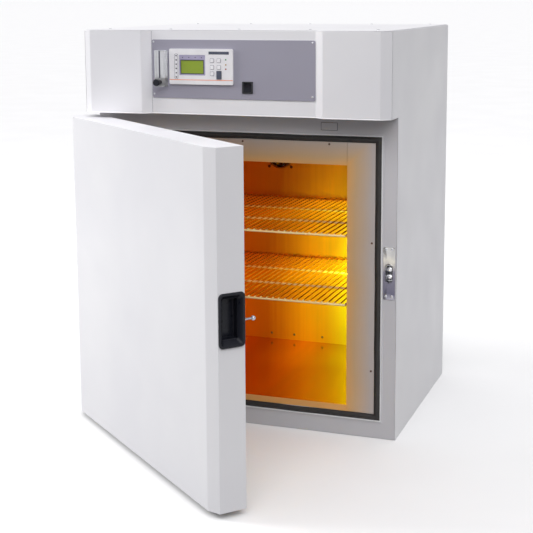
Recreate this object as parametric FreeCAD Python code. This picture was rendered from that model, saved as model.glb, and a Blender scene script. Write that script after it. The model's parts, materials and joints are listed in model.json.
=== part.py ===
import FreeCAD, Part
import math
import os

# Laboratory incubator, in millimetres. The origin is on the floor under the middle of the cabinet.
# +X is to the right and the door side faces -Y. The door is hinged on the left and stands ajar.

# Cabinet
WIDTH = 870.0
DEPTH = 630.0
HEIGHT = 1107.0
SHEET = 1.5
FRONT = -DEPTH / 2
REAR = DEPTH / 2
SIDE = WIDTH / 2
GAP = 0.5

# Console that projects over the door
CONSOLE_BOTTOM = 880.0
CONSOLE_REACH = 94.0
CONSOLE_FRONT = FRONT - CONSOLE_REACH
CORNER_BEVEL_X = 24.0
CORNER_BEVEL_Y = 20.5
BLOCK_INNER = 256.0
RECESS_HALF = 233.0
RECESS_DEPTH = 18.5
TOP_INSET = 3.0
TOP_GAP = 1.0
SIDE_FLANGE = 16.0

# Chamber
CHAMBER_HALF = 297.0
CHAMBER_TOP = 749.0
FLOOR_TOP = 80.0
SILL_TOP = 85.5
CHAMBER_BACK = FRONT + 578.0
INSULATION = 40.0

# Gasket and the frame opening behind the breaker strips
GASKET_INNER_X = 375.0
GASKET_BOTTOM = 68.0
GASKET_TOP = 811.0
GASKET_WIDTH = 16.0
GASKET_PROUD = 4.5
LIP = 6.0

# Door, as it lies when closed
DOOR_GAP = 5.0
DOOR_THICK = 86.0
DOOR_BOTTOM = 15.0
DOOR_TOP = 867.0
DOOR_BEVEL_X = 34.0
DOOR_BEVEL_Y = 15.0
DOOR_BACK = FRONT - DOOR_GAP
DOOR_FACE = DOOR_BACK - DOOR_THICK
REST_ANGLE = 40.5

# Hinges on the left face
PIVOT_X = -SIDE - 8.0
PIVOT_Y = FRONT - DOOR_GAP / 2
KNUCKLE_R = 6.0
PIN_R = 3.0
RUNNING_GAP = 0.06
HINGE_HEIGHT = 90.0
HINGE_LEVELS = (150.0, 730.0)
LEAF = 2.5

# Catch
LATCH_X = 414.0
LATCH_Z = 463.0
ROLLER_R = 8.0
ROLLER_LENGTH = 16.0
ROLLER_OFFSET = 10.5
ROLLER_Y = FRONT + 10.0
ROLLER_PIN_R = 1.5
KEEPER_HALF_W = 16.25
KEEPER_HALF_H = 71.5
KEEPER_Y = FRONT - 1.6
SLOT_HALF_W = 9.5
SLOT_HALF_H = 30.0
STUD_REACH = 31.5
STUD_BALL_R = 6.0
STUD_NECK_R = 2.2

# Shelves
SHELF_HALF = 291.0
SHELF_FRONT = FRONT + 12.0
SHELF_BACK = FRONT + 570.0
UPPER_SHELF_Z = 554.0
LOWER_SHELF_Z = 363.0
SHELF_ROD_R = 3.0
SHELF_WIRE_R = 1.8
SHELF_WIRES = 32
SHELF_WIRE_PITCH = 17.8
RUNNER_REACH = 10.0
RUNNER_DROP = 14.0
SIDE_ROD_R = 2.5
WIRE_SINK = 0.9
WIRE_OVERHANG = 2.3

# Heater, probe and lamp
HEATER_Z = 66.0
HEATER_R = 4.0
HEATER_TURNS = 6
HEATER_END_X = 250.0
PROBE_X = 200.0
PROBE_Z = 640.0
PROBE_R = 3.0
LAMP_Y = FRONT + 330.0
LAMP_Z = 225.0

# Fan on the back wall
FAN_X = -92.0
FAN_Z = 690.0
FAN_R = 40.0
FAN_DEPTH = 25.0
FAN_BLADES = 7
FAN_SHAFT_R = 2.0

# Control panel
PANEL_LEFT = -231.0
PANEL_RIGHT = 232.0
PANEL_BOTTOM = 924.0
PANEL_TOP = 1081.0
PANEL_THICK = 2.0
RECESS_Y = CONSOLE_FRONT + RECESS_DEPTH
PANEL_Y = RECESS_Y - PANEL_THICK
BEZEL_LEFT = -178.0
BEZEL_RIGHT = 6.0
BEZEL_BOTTOM = 962.0
BEZEL_TOP = 1057.0
BEZEL_THICK = 6.0
BEZEL_Y = PANEL_Y - BEZEL_THICK
LCD_X = -111.0
LCD_Z = 1009.0
LCD_W = 68.0
LCD_H = 38.0
KEY_SIZE = 9.6
KEY_HOLE_GAP = 0.4
KEY_STANDS_OUT = 1.3
STATUS_X = -14.5
STATUS_LEVELS = (1029.0, 1015.5, 1004.0)
SWITCH_X = 45.0
SWITCH_Z = 956.0
ROCKER_Y = PANEL_Y + 2.0
ROCKER_TILT = 8.0
ROCKER_HALF_H = 11.0
ROCKER_W = 20.0

# Flowmeter
METER_X = -199.5
METER_W = 30.0
METER_DEPTH = 22.0
METER_BOTTOM = 955.0
METER_TOP = 1053.0
METER_Y = PANEL_Y - METER_DEPTH
FLOAT_R = 3.5
METER_PORT_Z = METER_TOP - 13.0
KNOB_Z = 968.0
KNOB_LENGTH = 26.0
KNOB_FLUTES = 10

# Connections on the back
INLET_X = 300.0
INLET_Z = CONSOLE_BOTTOM + 70.0
GAS_X = -40.0
GAS_Z = CONSOLE_BOTTOM + 70.0
GAS_TUBE_R = 3.0
GAS_TUBE_BORE_R = 1.8
VENT_ROWS = 2
VENT_COLUMNS = 12
VENT_PITCH = 14.0

# Handle in the door's latch edge
HANDLE_Y = DOOR_BACK - 36.5
HANDLE_Z = 472.0
HANDLE_CUP_Y = 56.0
HANDLE_CUP_Z = 113.0
HANDLE_W = 68.0
HANDLE_H = 128.0
HANDLE_CLEAR = 0.3


def vec(x, y, z):
    return FreeCAD.Vector(x, y, z)


X_AXIS = vec(1, 0, 0)
Y_AXIS = vec(0, 1, 0)
Z_AXIS = vec(0, 0, 1)


def block(x0, x1, y0, y1, z0, z1):
    return Part.makeBox(x1 - x0, y1 - y0, z1 - z0, vec(x0, y0, z0))


def rod(start, axis, radius, length):
    return Part.makeCylinder(radius, length, start, axis)


def welded_rod(start, axis, radius, length):
    """Rod with its seam a quarter turn round, so that it lies clear of the rods welded across it."""
    shape = rod(start, axis, radius, length)
    shape.rotate(start, axis, 90)
    return shape


def prism(points, z0, z1):
    """Solid of an outline in plan, between two heights."""
    loop = [vec(x, y, z0) for x, y in points]
    return Part.Face(Part.makePolygon(loop + loop[:1])).extrude(vec(0, 0, z1 - z0))


def rounded_face_block(x0, x1, y0, y1, z0, z1, radius):
    """Block whose four edges along Y are rounded."""
    body = block(x0, x1, y0, y1, z0, z1)
    along_y = [e for e in body.Edges if abs(e.tangentAt(e.FirstParameter).y) > 0.99]
    return body.makeFillet(radius, along_y)


def rounded_side_block(x0, x1, y0, y1, z0, z1, radius):
    """Block whose four edges along X are rounded."""
    body = block(x0, x1, y0, y1, z0, z1)
    along_x = [e for e in body.Edges if abs(e.tangentAt(e.FirstParameter).x) > 0.99]
    return body.makeFillet(radius, along_x)


def turned(profile, centre, axis):
    """Solid of revolution. The profile is (distance along the axis, radius) pairs."""
    loop = [vec(radius, 0, along) for along, radius in profile]
    loop = [vec(0, 0, profile[0][0])] + loop + [vec(0, 0, profile[-1][0])]
    body = Part.Face(Part.makePolygon(loop + loop[:1])).revolve(vec(0, 0, 0), Z_AXIS, 360)
    body.Placement = FreeCAD.Placement(centre, FreeCAD.Rotation(Z_AXIS, axis))
    return body


def ring(centre, axis, radius, wire):
    return Part.makeTorus(radius, wire, centre, axis)


def joined(shapes):
    first, rest = shapes[0], shapes[1:]
    return first.multiFuse(rest).removeSplitter() if rest else first


def hollowed(shape, tools):
    for tool in tools:
        shape = shape.cut(tool)
    return shape


def apart(shapes):
    return Part.makeCompound(shapes)


def pan_screw(point, axis, radius=3.0, height=1.6, shank=0.0):
    """Domed screw head standing on a face, with an optional shank behind it."""
    head = turned([(0, radius), (0.4 * height, radius), (height, 0.55 * radius)], point, axis)
    if not shank:
        return head
    return joined([head, rod(point - axis * shank, axis, radius * 0.5, shank + 0.2)])


def opened(shape):
    """Swings a door piece from closed to the angle at which the door stands."""
    turned_shape = shape.copy()
    turned_shape.rotate(vec(PIVOT_X, PIVOT_Y, 0), Z_AXIS, -REST_ANGLE)
    return turned_shape


# ---------------------------------------------------------------- casing


def console_outline(inset):
    """Front edge of the console in plan, from left to right, moved inwards by inset."""
    lean = inset * 0.41
    return [
        (-SIDE + inset, CONSOLE_FRONT + CORNER_BEVEL_Y + lean),
        (-SIDE + CORNER_BEVEL_X + lean, CONSOLE_FRONT + inset),
        (-BLOCK_INNER - lean, CONSOLE_FRONT + inset),
        (-RECESS_HALF - lean, RECESS_Y + inset),
        (RECESS_HALF + lean, RECESS_Y + inset),
        (BLOCK_INNER + lean, CONSOLE_FRONT + inset),
        (SIDE - CORNER_BEVEL_X - lean, CONSOLE_FRONT + inset),
        (SIDE - inset, CONSOLE_FRONT + CORNER_BEVEL_Y + lean),
    ]


def side_panel(side):
    """Painted side with the console's cheek in one piece, and a flange folded in at the top."""
    x0, x1 = sorted((side * SIDE, side * (SIDE - SHEET)))
    flange_x0, flange_x1 = sorted((side * SIDE, side * (SIDE - SIDE_FLANGE)))
    top = HEIGHT - SHEET - TOP_GAP
    cheek_y = CONSOLE_FRONT + CORNER_BEVEL_Y + 2 * GAP
    return joined([
        block(x0, x1, FRONT, REAR, 0, top),
        block(x0, x1, cheek_y, FRONT + 1, CONSOLE_BOTTOM, top),
        block(flange_x0, flange_x1, cheek_y, REAR, top - SHEET, top),
    ])


def top_cover():
    outline = console_outline(TOP_INSET)
    back = [(SIDE - TOP_INSET, REAR), (-SIDE + TOP_INSET, REAR)]
    return prism(outline + back, HEIGHT - SHEET, HEIGHT)


def control_cut_outs(y0, y1):
    """Tools for the openings behind the controller, the switch and the flowmeter's port."""
    return [
        block(BEZEL_LEFT + 8, BEZEL_RIGHT - 8, y0, y1, BEZEL_BOTTOM + 6, BEZEL_TOP - 6),
        block(SWITCH_X - 12.5, SWITCH_X + 12.5, y0, y1, SWITCH_Z - 13.5, SWITCH_Z + 13.5),
        rod(vec(METER_X, y0, METER_PORT_Z), Y_AXIS, 5, y1 - y0),
    ]


def console_front():
    """Folded sheet with bevelled ends and a recess, cut out behind the controls."""
    top = HEIGHT - SHEET - TOP_GAP
    face = console_outline(0)
    behind = console_outline(SHEET)[::-1]
    sheet = prism(face + behind, CONSOLE_BOTTOM, top)
    return hollowed(sheet, control_cut_outs(RECESS_Y - 1, RECESS_Y + SHEET + 1))


def console_floor():
    front = console_outline(SHEET + GAP)
    back = [(SIDE - SHEET - GAP, REAR - SHEET - 1), (-SIDE + SHEET + GAP, REAR - SHEET - 1)]
    return prism(front + back, CONSOLE_BOTTOM, CONSOLE_BOTTOM + SHEET)


def base_pan():
    x, y0, y1 = SIDE - SHEET - GAP, FRONT + SHEET + GAP, REAR - SHEET - GAP
    tray = block(-x, x, y0, y1, 0, 30)
    return tray.cut(block(-x + SHEET, x - SHEET, y0 + SHEET, y1 - SHEET, SHEET, 31))


def rear_cover():
    """Back panel with two rows of vent slots over the console compartment."""
    x = SIDE - SHEET - GAP
    panel = block(-x, x, REAR - SHEET, REAR, 2, HEIGHT - 2 * SHEET - 2 * TOP_GAP - GAP)
    y0, y1 = REAR - 2 * SHEET, REAR + 1
    cuts = []
    for row in range(VENT_ROWS):
        for column in range(VENT_COLUMNS):
            left = -x + 90 + column * VENT_PITCH
            low = CONSOLE_BOTTOM + 60 + row * 70
            cuts.append(block(left, left + 5, y0, y1, low, low + 50))
    cuts.append(block(INLET_X - 15, INLET_X + 15, y0, y1, INLET_Z - 12, INLET_Z + 12))
    cuts.append(rod(vec(GAS_X, y0, GAS_Z), Y_AXIS, 6.5, y1 - y0))
    return hollowed(panel, cuts)


def gasket_block(beyond, y0, y1):
    """Block as large as the gasket's opening, and larger all round by beyond."""
    x = GASKET_INNER_X + beyond
    return block(-x, x, y0, y1, GASKET_BOTTOM - beyond, GASKET_TOP + beyond)


def rounded_gasket_block(beyond, y0, y1, radius):
    x = GASKET_INNER_X + beyond
    return rounded_face_block(-x, x, y0, y1, GASKET_BOTTOM - beyond, GASKET_TOP + beyond, radius)


def front_frame():
    """Painted face round the chamber, with a pressed lip that holds the gasket."""
    x = SIDE - SHEET - GAP
    face = block(-x, x, FRONT, FRONT + SHEET, 1, CONSOLE_BOTTOM - 1)
    outside = gasket_block(GASKET_WIDTH + GAP + LIP, FRONT - SHEET, FRONT + GAP)
    inside = gasket_block(GASKET_WIDTH + GAP, FRONT - 2 * SHEET, FRONT + 2 * GAP)
    frame = joined([face, outside.cut(inside)])
    opening = gasket_block(0, FRONT - 3, FRONT + 3)
    catch = block(LATCH_X - 12, LATCH_X + 12, FRONT - 3, FRONT + 3, LATCH_Z - 36, LATCH_Z + 36)
    return hollowed(frame, [opening, catch])


def door_gasket():
    """A base band with a narrower bead on it, all round the opening."""
    inset = 3.0
    band_y = FRONT - 2.5
    band = rounded_gasket_block(GASKET_WIDTH, band_y, FRONT, 14)
    bead = rounded_gasket_block(GASKET_WIDTH - inset, FRONT - GASKET_PROUD, FRONT - 2, 11)
    opening = rounded_gasket_block(0, FRONT - 9, FRONT + 1, 6)
    step = rounded_gasket_block(inset, FRONT - 9, band_y, 8)
    return hollowed(joined([band, bead]), [opening, step])


def breaker_strips():
    """Four stainless strips that bridge from the frame to the liner."""
    y0, y1 = FRONT, FRONT + SHEET
    x_out = GASKET_INNER_X - GAP
    low, high = GASKET_BOTTOM + GAP, GASKET_TOP - GAP
    joint = CHAMBER_HALF
    strips = [
        block(-joint + GAP, joint - GAP, y0, y1, CHAMBER_TOP, high),
        block(-joint + GAP, joint - GAP, y0, y1, low, SILL_TOP),
    ]
    for side in (-1, 1):
        x0, x1 = sorted((side * joint, side * x_out))
        strips.append(block(x0, x1, y0, y1, low, high))
    return apart(strips)


def cabinet_insulation():
    """Five slabs round the chamber liner."""
    x_in = CHAMBER_HALF + SHEET + GAP
    x_out = x_in + INSULATION
    y0, y1 = FRONT + 2 * SHEET + 2, CHAMBER_BACK
    low, high = HEATER_Z - 12, CHAMBER_TOP + SHEET + GAP
    slabs = []
    for side in (-1, 1):
        a, b = sorted((side * x_in, side * x_out))
        slabs.append(block(a, b, y0, y1, low - INSULATION, high + INSULATION))
    slabs.append(block(-x_in + GAP, x_in - GAP, y0, y1, high, high + INSULATION))
    slabs.append(block(-x_in + GAP, x_in - GAP, y0, y1, low - INSULATION, low))
    back_y = y1 + SHEET
    rear = block(-x_out, x_out, back_y + GAP, back_y + INSULATION, low - INSULATION, high + INSULATION)
    pocket = FAN_R + 10
    cuts = [
        block(FAN_X - pocket, FAN_X + pocket, y1, REAR, FAN_Z - pocket, FAN_Z + pocket),
        rod(vec(PROBE_X, y1, PROBE_Z), Y_AXIS, PROBE_R + 2, 60),
    ]
    for end in (-1, 1):
        cuts.append(rod(vec(end * HEATER_END_X, y1, HEATER_Z), Y_AXIS, HEATER_R + 2, 60))
    slabs.append(hollowed(rear, cuts))
    return apart(slabs)


def liner_wall(side):
    x0, x1 = sorted((side * CHAMBER_HALF, side * (CHAMBER_HALF + SHEET)))
    return block(x0, x1, FRONT + SHEET + GAP, CHAMBER_BACK, HEATER_Z - 10, CHAMBER_TOP + SHEET)


def liner_top():
    x = CHAMBER_HALF - GAP / 2
    return block(-x, x, FRONT + SHEET + GAP, CHAMBER_BACK - GAP, CHAMBER_TOP, CHAMBER_TOP + SHEET)


def liner_floor():
    """Polished floor plate with a turned-down front edge."""
    x = CHAMBER_HALF - GAP
    plate = block(-x, x, FRONT + SHEET + GAP, CHAMBER_BACK - GAP, FLOOR_TOP - SHEET, FLOOR_TOP)
    edge = block(-x, x, FRONT + SHEET + GAP, FRONT + 2 * SHEET + GAP, HEATER_Z + 6, FLOOR_TOP)
    return joined([plate, edge])


def liner_back():
    """Back wall, cut out for the fan, the probe and the heater's tails."""
    x = CHAMBER_HALF + SHEET
    wall = block(-x, x, CHAMBER_BACK, CHAMBER_BACK + SHEET, HEATER_Z - 10, CHAMBER_TOP + SHEET)
    y = CHAMBER_BACK - 1
    cuts = [
        rod(vec(FAN_X, y, FAN_Z), Y_AXIS, FAN_R, 4),
        rod(vec(PROBE_X, y, PROBE_Z), Y_AXIS, PROBE_R + 0.3, 4),
    ]
    for end in (-1, 1):
        cuts.append(rod(vec(end * HEATER_END_X, y, HEATER_Z), Y_AXIS, HEATER_R + 0.4, 4))
    return hollowed(wall, cuts)


def shelf_runners():
    """Four angles on the liner's side walls, two for each shelf."""
    angles = []
    for level in (UPPER_SHELF_Z, LOWER_SHELF_Z):
        top = level - SHELF_ROD_R - 0.3
        for side in (-1, 1):
            wall_x = side * (CHAMBER_HALF - 0.1)
            tip_x = side * (CHAMBER_HALF - RUNNER_REACH)
            web_x = wall_x - side * SHEET
            y0, y1 = FRONT + 24, CHAMBER_BACK - 12
            ledge = block(min(tip_x, wall_x), max(tip_x, wall_x), y0, y1, top - SHEET, top)
            web = block(min(web_x, wall_x), max(web_x, wall_x), y0, y1, top - RUNNER_DROP, top)
            angles.append(joined([ledge, web]))
    return apart(angles)


def cabinet_screws():
    """Every small screw that stands on the casing, the strips, the back wall and the panel."""
    heads = []
    for x in (-384, -200, 0, 200, 384):
        heads.append(pan_screw(vec(x, FRONT - 20, HEIGHT), Z_AXIS, 4.0, 2.0))
        heads.append(pan_screw(vec(x, REAR - 25, HEIGHT), Z_AXIS, 4.0, 2.0))
        heads.append(pan_screw(vec(x, REAR, 12), Y_AXIS, 4.0, 2.0))
        heads.append(pan_screw(vec(x, REAR, HEIGHT - 20), Y_AXIS, 4.0, 2.0))
    for x in (-247, 0, 247):
        heads.append(pan_screw(vec(x, FRONT, 804), -Y_AXIS, 3.0, 1.4))
    for side in (-1, 1):
        for z in (188.5, 542):
            heads.append(pan_screw(vec(side * 366, FRONT, z), -Y_AXIS, 3.0, 1.4))
    for x in (-124, -46, 50):
        heads.append(pan_screw(vec(x, CHAMBER_BACK, 98), -Y_AXIS, 4.0, 2.0))
    for x in (PANEL_LEFT + 5, PANEL_RIGHT - 7):
        for z in (PANEL_BOTTOM + 11, PANEL_TOP - 6):
            heads.append(pan_screw(vec(x, PANEL_Y, z), -Y_AXIS, 2.6, 1.4))
    for z in (LATCH_Z - KEEPER_HALF_H + 9, LATCH_Z + KEEPER_HALF_H - 6):
        for dx in (-8, 8):
            heads.append(pan_screw(vec(LATCH_X + dx, KEEPER_Y, z), -Y_AXIS, 3.6, 1.4))
    return apart(heads)


def door_switch_cover():
    return rounded_face_block(225, 269, FRONT - 1.5, FRONT, 842, 861, 2.5)


# ---------------------------------------------------------------- inside the chamber


def shelf(level):
    """Welded wire shelf: a rod frame, two cross rods and wires that run front to back on top."""
    span = SHELF_BACK - SHELF_FRONT
    rods = []
    for third in range(4):
        y = SHELF_FRONT + third * span / 3
        rods.append(welded_rod(vec(-SHELF_HALF, y, level), X_AXIS, SHELF_ROD_R, 2 * SHELF_HALF))
    for side in (-1, 1):
        start = vec(side * (SHELF_HALF - SHELF_ROD_R - 1), SHELF_FRONT + WIRE_SINK, level)
        rods.append(welded_rod(start, Y_AXIS, SIDE_ROD_R, span - 2 * WIRE_SINK))
    wire_z = level + SHELF_ROD_R + SHELF_WIRE_R - WIRE_SINK
    first = -(SHELF_WIRES - 1) / 2 * SHELF_WIRE_PITCH
    wires = []
    for i in range(SHELF_WIRES):
        start = vec(first + i * SHELF_WIRE_PITCH, SHELF_FRONT - WIRE_OVERHANG, wire_z)
        wires.append(welded_rod(start, Y_AXIS, SHELF_WIRE_R, span + 2 * WIRE_OVERHANG))
    frame = rods[0].multiFuse(rods[1:])
    return frame.multiFuse(wires)


def floor_heater():
    """Sheathed element that runs to and fro under the floor plate, its ends out through the back."""
    y_near, y_far, y_out = FRONT + 60, CHAMBER_BACK - 60, CHAMBER_BACK + 30
    runs = 2 * HEATER_TURNS
    pitch = 2 * HEATER_END_X / (runs - 1)
    bend = pitch / 2
    edges = []
    for i in range(runs):
        x = -HEATER_END_X + i * pitch
        backwards = i % 2
        start_y = y_near if backwards else y_far
        end_y = y_far if backwards else y_near
        if i == 0:
            start_y = y_out
        if i == runs - 1:
            end_y = y_out
        end = vec(x, end_y, HEATER_Z)
        edges.append(Part.LineSegment(vec(x, start_y, HEATER_Z), end).toShape())
        if i < runs - 1:
            middle = vec(x + bend, end_y + (bend if backwards else -bend), HEATER_Z)
            edges.append(Part.Arc(end, middle, vec(x + pitch, end_y, HEATER_Z)).toShape())
    section = Part.makeCircle(HEATER_R, vec(-HEATER_END_X, y_out, HEATER_Z), Y_AXIS)
    return Part.Wire(edges).makePipeShell([Part.Wire([section])], True, True)


def temperature_probe():
    """Closed steel tube with a collar, through the back wall."""
    tube = rod(vec(PROBE_X, CHAMBER_BACK - 110, PROBE_Z), Y_AXIS, PROBE_R, 150)
    collar = rod(vec(PROBE_X, CHAMBER_BACK - 6, PROBE_Z), Y_AXIS, 8.0, 5.9)
    return joined([tube, collar])


def interior_lamp():
    """Round bulkhead lamp on the right wall."""
    profile = [(0, 42), (8, 42), (9, 36), (14, 32), (18, 22), (20, 8)]
    return turned(profile, vec(CHAMBER_HALF - 0.1, LAMP_Y, LAMP_Z), -X_AXIS)


def fan_housing():
    """Square frame with a round duct, and a spider that carries the shaft."""
    y0 = CHAMBER_BACK + SHEET + 0.2
    y1 = y0 + FAN_DEPTH
    half = FAN_R + 8
    body = rounded_face_block(FAN_X - half, FAN_X + half, y0, y1, FAN_Z - half, FAN_Z + half, 6)
    duct = rod(vec(FAN_X, y0 - 1, FAN_Z), Y_AXIS, FAN_R + 1, FAN_DEPTH + 2)
    shell = body.cut(duct)
    spider = [rod(vec(FAN_X, y1 - 6, FAN_Z), Y_AXIS, 14, 6)]
    for angle in (30, 150, 270):
        arm = block(FAN_X, FAN_X + FAN_R + 4, y1 - 4, y1, FAN_Z - 2.5, FAN_Z + 2.5)
        arm.rotate(vec(FAN_X, y0, FAN_Z), Y_AXIS, angle)
        spider.append(arm)
    shaft = rod(vec(FAN_X, y0 + 5, FAN_Z), Y_AXIS, FAN_SHAFT_R, FAN_DEPTH - 7)
    return joined([shell] + spider + [shaft])


def fan_impeller():
    """Hub with twisted blades on the shaft."""
    y0 = CHAMBER_BACK + SHEET + 2.2
    depth = 15.0
    hub = rod(vec(FAN_X, y0, FAN_Z), Y_AXIS, 15, depth)
    reach = FAN_R - 2
    sweep = rod(vec(FAN_X, y0, FAN_Z), Y_AXIS, reach, depth)
    blades = []
    for i in range(FAN_BLADES):
        blade = block(FAN_X + 12, FAN_X + reach + 4, y0 - 4, y0 + depth + 4, -0.8, 0.8)
        blade.translate(vec(0, 0, FAN_Z))
        blade.rotate(vec(FAN_X, y0 + depth / 2, FAN_Z), X_AXIS, 48)
        blade.rotate(vec(FAN_X, y0, FAN_Z), Y_AXIS, i * 360 / FAN_BLADES)
        blades.append(blade.common(sweep))
    bore = rod(vec(FAN_X, y0 + 2, FAN_Z), Y_AXIS, FAN_SHAFT_R + RUNNING_GAP, depth)
    return joined([hub] + blades).cut(bore)


def fan_guard():
    """Concentric wire rings on a cross, with four screw lugs, on the chamber side of the wall."""
    y = CHAMBER_BACK - 2.5
    centre = vec(FAN_X, y, FAN_Z)
    wires = [ring(centre, Y_AXIS, radius, 0.9) for radius in (12, 22, 32, 42)]
    for angle in (45, 135):
        bar = rod(vec(FAN_X - 52, y + 1.2, FAN_Z), X_AXIS, 0.9, 104)
        bar.rotate(vec(FAN_X, y, FAN_Z), Y_AXIS, angle)
        wires.append(bar)
    for i in range(4):
        lug = rod(vec(FAN_X + 53, y + 0.4, FAN_Z), Y_AXIS, 4.5, 1.8)
        lug.rotate(vec(FAN_X, y, FAN_Z), Y_AXIS, 45 + i * 90)
        wires.append(lug)
    return joined(wires)


# ---------------------------------------------------------------- controls


def key_places():
    """Centre and height of each key: five square ones in two columns, and one tall dark one."""
    left, right = -53.5, -34.0
    rows = (1026.5, 1008.5, 991.5)
    square = [(left, z, KEY_SIZE) for z in rows] + [(right, z, KEY_SIZE) for z in rows[:2]]
    return square + [(right, rows[2] - 3.5, 22.0)]


def key_width(height):
    return KEY_SIZE if height == KEY_SIZE else 14.0


def control_panel():
    plate = rounded_face_block(PANEL_LEFT, PANEL_RIGHT, PANEL_Y, RECESS_Y, PANEL_BOTTOM, PANEL_TOP, 4)
    return hollowed(plate, control_cut_outs(PANEL_Y - 1, RECESS_Y + 1))


def controller_bezel():
    """Frame of the controller, with a window, key holes and three lamp holes."""
    frame = rounded_face_block(BEZEL_LEFT, BEZEL_RIGHT, BEZEL_Y, PANEL_Y, BEZEL_BOTTOM, BEZEL_TOP, 4)
    y0, y1 = BEZEL_Y - 1, PANEL_Y + 1
    low, high = LCD_Z - LCD_H / 2, LCD_Z + LCD_H / 2
    window = block(LCD_X - LCD_W / 2, LCD_X + LCD_W / 2, y0, y1, low, high)
    mask = block(LCD_X - 38, LCD_X + 38, y0, BEZEL_Y + 0.8, low - 4, high + 13)
    cuts = [window, mask]
    for x, z, height in key_places():
        half_w = key_width(height) / 2 + KEY_HOLE_GAP
        half_h = height / 2 + KEY_HOLE_GAP
        cuts.append(rounded_face_block(x - half_w, x + half_w, y0, y1, z - half_h, z + half_h, 1.4))
    for z in STATUS_LEVELS:
        cuts.append(rod(vec(STATUS_X, y0, z), Y_AXIS, 2.1, y1 - y0))
    return hollowed(frame, cuts)


def lcd_display():
    w, h = LCD_W / 2 - GAP / 2, LCD_H / 2 - GAP / 2
    return block(LCD_X - w, LCD_X + w, BEZEL_Y + 1.6, PANEL_Y, LCD_Z - h, LCD_Z + h)


def controller_housing():
    """Closed box behind the panel for the controller's board, and the three status lamps."""
    y0 = PANEL_Y + 2.5
    box = block(BEZEL_LEFT + 9, BEZEL_RIGHT - 9, y0, y0 + 55, BEZEL_BOTTOM + 7, BEZEL_TOP - 7)
    profile = [(0, 2.0), (5.5, 2.0), (6.3, 1.4), (6.6, 0.5)]
    lamps = [turned(profile, vec(STATUS_X, PANEL_Y, z), -Y_AXIS) for z in STATUS_LEVELS]
    return apart([box] + lamps)


def key(place):
    """Push key that stands a little out of the bezel."""
    x, z, height = place
    half_w, half_h = key_width(height) / 2, height / 2
    y0, y1 = BEZEL_Y - KEY_STANDS_OUT, PANEL_Y - 0.5
    return rounded_face_block(x - half_w, x + half_w, y0, y1, z - half_h, z + half_h, 1.0)


def power_switch_bezel():
    """Rim on the panel with a hollow body behind it."""
    x, y, z = SWITCH_X, PANEL_Y, SWITCH_Z
    rim = rounded_face_block(x - 15, x + 15, y - 2.5, y, z - 16, z + 16, 1.5)
    can = block(x - 12, x + 12, y - 0.5, y + 24, z - 13, z + 13)
    well = block(x - 10.5, x + 10.5, y - 4, y + 16, z - 12, z + 12)
    return joined([rim, can]).cut(well)


def power_rocker():
    """Rocker with two faces that lean apart, pressed in at one end."""
    half = ROCKER_HALF_H
    face_y = ROCKER_Y - 5.5
    end_y = face_y - half * math.tan(math.radians(ROCKER_TILT))
    upper = [(end_y, half), (ROCKER_Y, half - 1), (ROCKER_Y + 5, 3)]
    lower = [(y, -z) for y, z in upper[::-1]]
    x = SWITCH_X - ROCKER_W / 2
    profile = [vec(x, y, SWITCH_Z + z) for y, z in [(face_y, 0)] + upper + lower]
    body = Part.Face(Part.makePolygon(profile + profile[:1])).extrude(vec(ROCKER_W, 0, 0))
    body.rotate(vec(SWITCH_X, ROCKER_Y, SWITCH_Z), X_AXIS, ROCKER_TILT)
    return body


def flowmeter_body():
    """Clear block with a tapered bore, ported to the back at the top."""
    x0, x1 = METER_X - METER_W / 2, METER_X + METER_W / 2
    body = rounded_face_block(x0, x1, METER_Y, PANEL_Y, METER_BOTTOM, METER_TOP, 2)
    middle = METER_Y + METER_DEPTH / 2
    low = METER_BOTTOM + 25
    length = METER_TOP - 8 - low
    taper = Part.makeCone(FLOAT_R + 0.4, FLOAT_R + 1.4, length, vec(METER_X, middle, low))
    port = rod(vec(METER_X, middle, METER_PORT_Z), Y_AXIS, 2.5, METER_DEPTH)
    valve = rod(vec(METER_X, METER_Y - 1, KNOB_Z), Y_AXIS, 3.0 + RUNNING_GAP, 15)
    return hollowed(body, [taper, port, valve])


def flowmeter_float():
    z = METER_BOTTOM + 25 + FLOAT_R + 0.2
    return Part.makeSphere(FLOAT_R, vec(METER_X, METER_Y + METER_DEPTH / 2, z))


def flowmeter_knob():
    """Flared valve knob with a stem and shallow flutes."""
    stem = [(-12, 3.0), (0.6, 3.0)]
    grip = [(0.6, 6.5), (10, 7.0), (20, 9.5), (24, 9.5), (KNOB_LENGTH, 8.2)]
    knob = turned(stem + grip, vec(METER_X, METER_Y, KNOB_Z), -Y_AXIS)
    flutes = []
    for i in range(KNOB_FLUTES):
        flute = rod(vec(METER_X + 10.8, METER_Y - KNOB_LENGTH - 1, KNOB_Z), Y_AXIS, 1.8, 14)
        flute.rotate(vec(METER_X, METER_Y, KNOB_Z), Y_AXIS, i * 360 / KNOB_FLUTES)
        flutes.append(flute)
    return hollowed(knob, flutes)


def mains_inlet():
    """Appliance inlet on the back, with three blades in its well and two ears."""
    x, y, z = INLET_X, REAR, INLET_Z
    ears = rounded_face_block(x - 25, x + 25, y + 0.1, y + 3, z - 14, z + 14, 4)
    can = block(x - 14.5, x + 14.5, y - 24, y + 5, z - 11.5, z + 11.5)
    well = block(x - 12.5, x + 12.5, y - 14, y + 6, z - 9, z + 9)
    blades = []
    for across, up in ((-7, 0), (0, 3.5), (7, 0)):
        bx, bz = x + across, z + up
        blades.append(block(bx - 1, bx + 1, y - 15, y - 1, bz - 2, bz + 2))
    return joined([joined([ears, can]).cut(well)] + blades)


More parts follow.
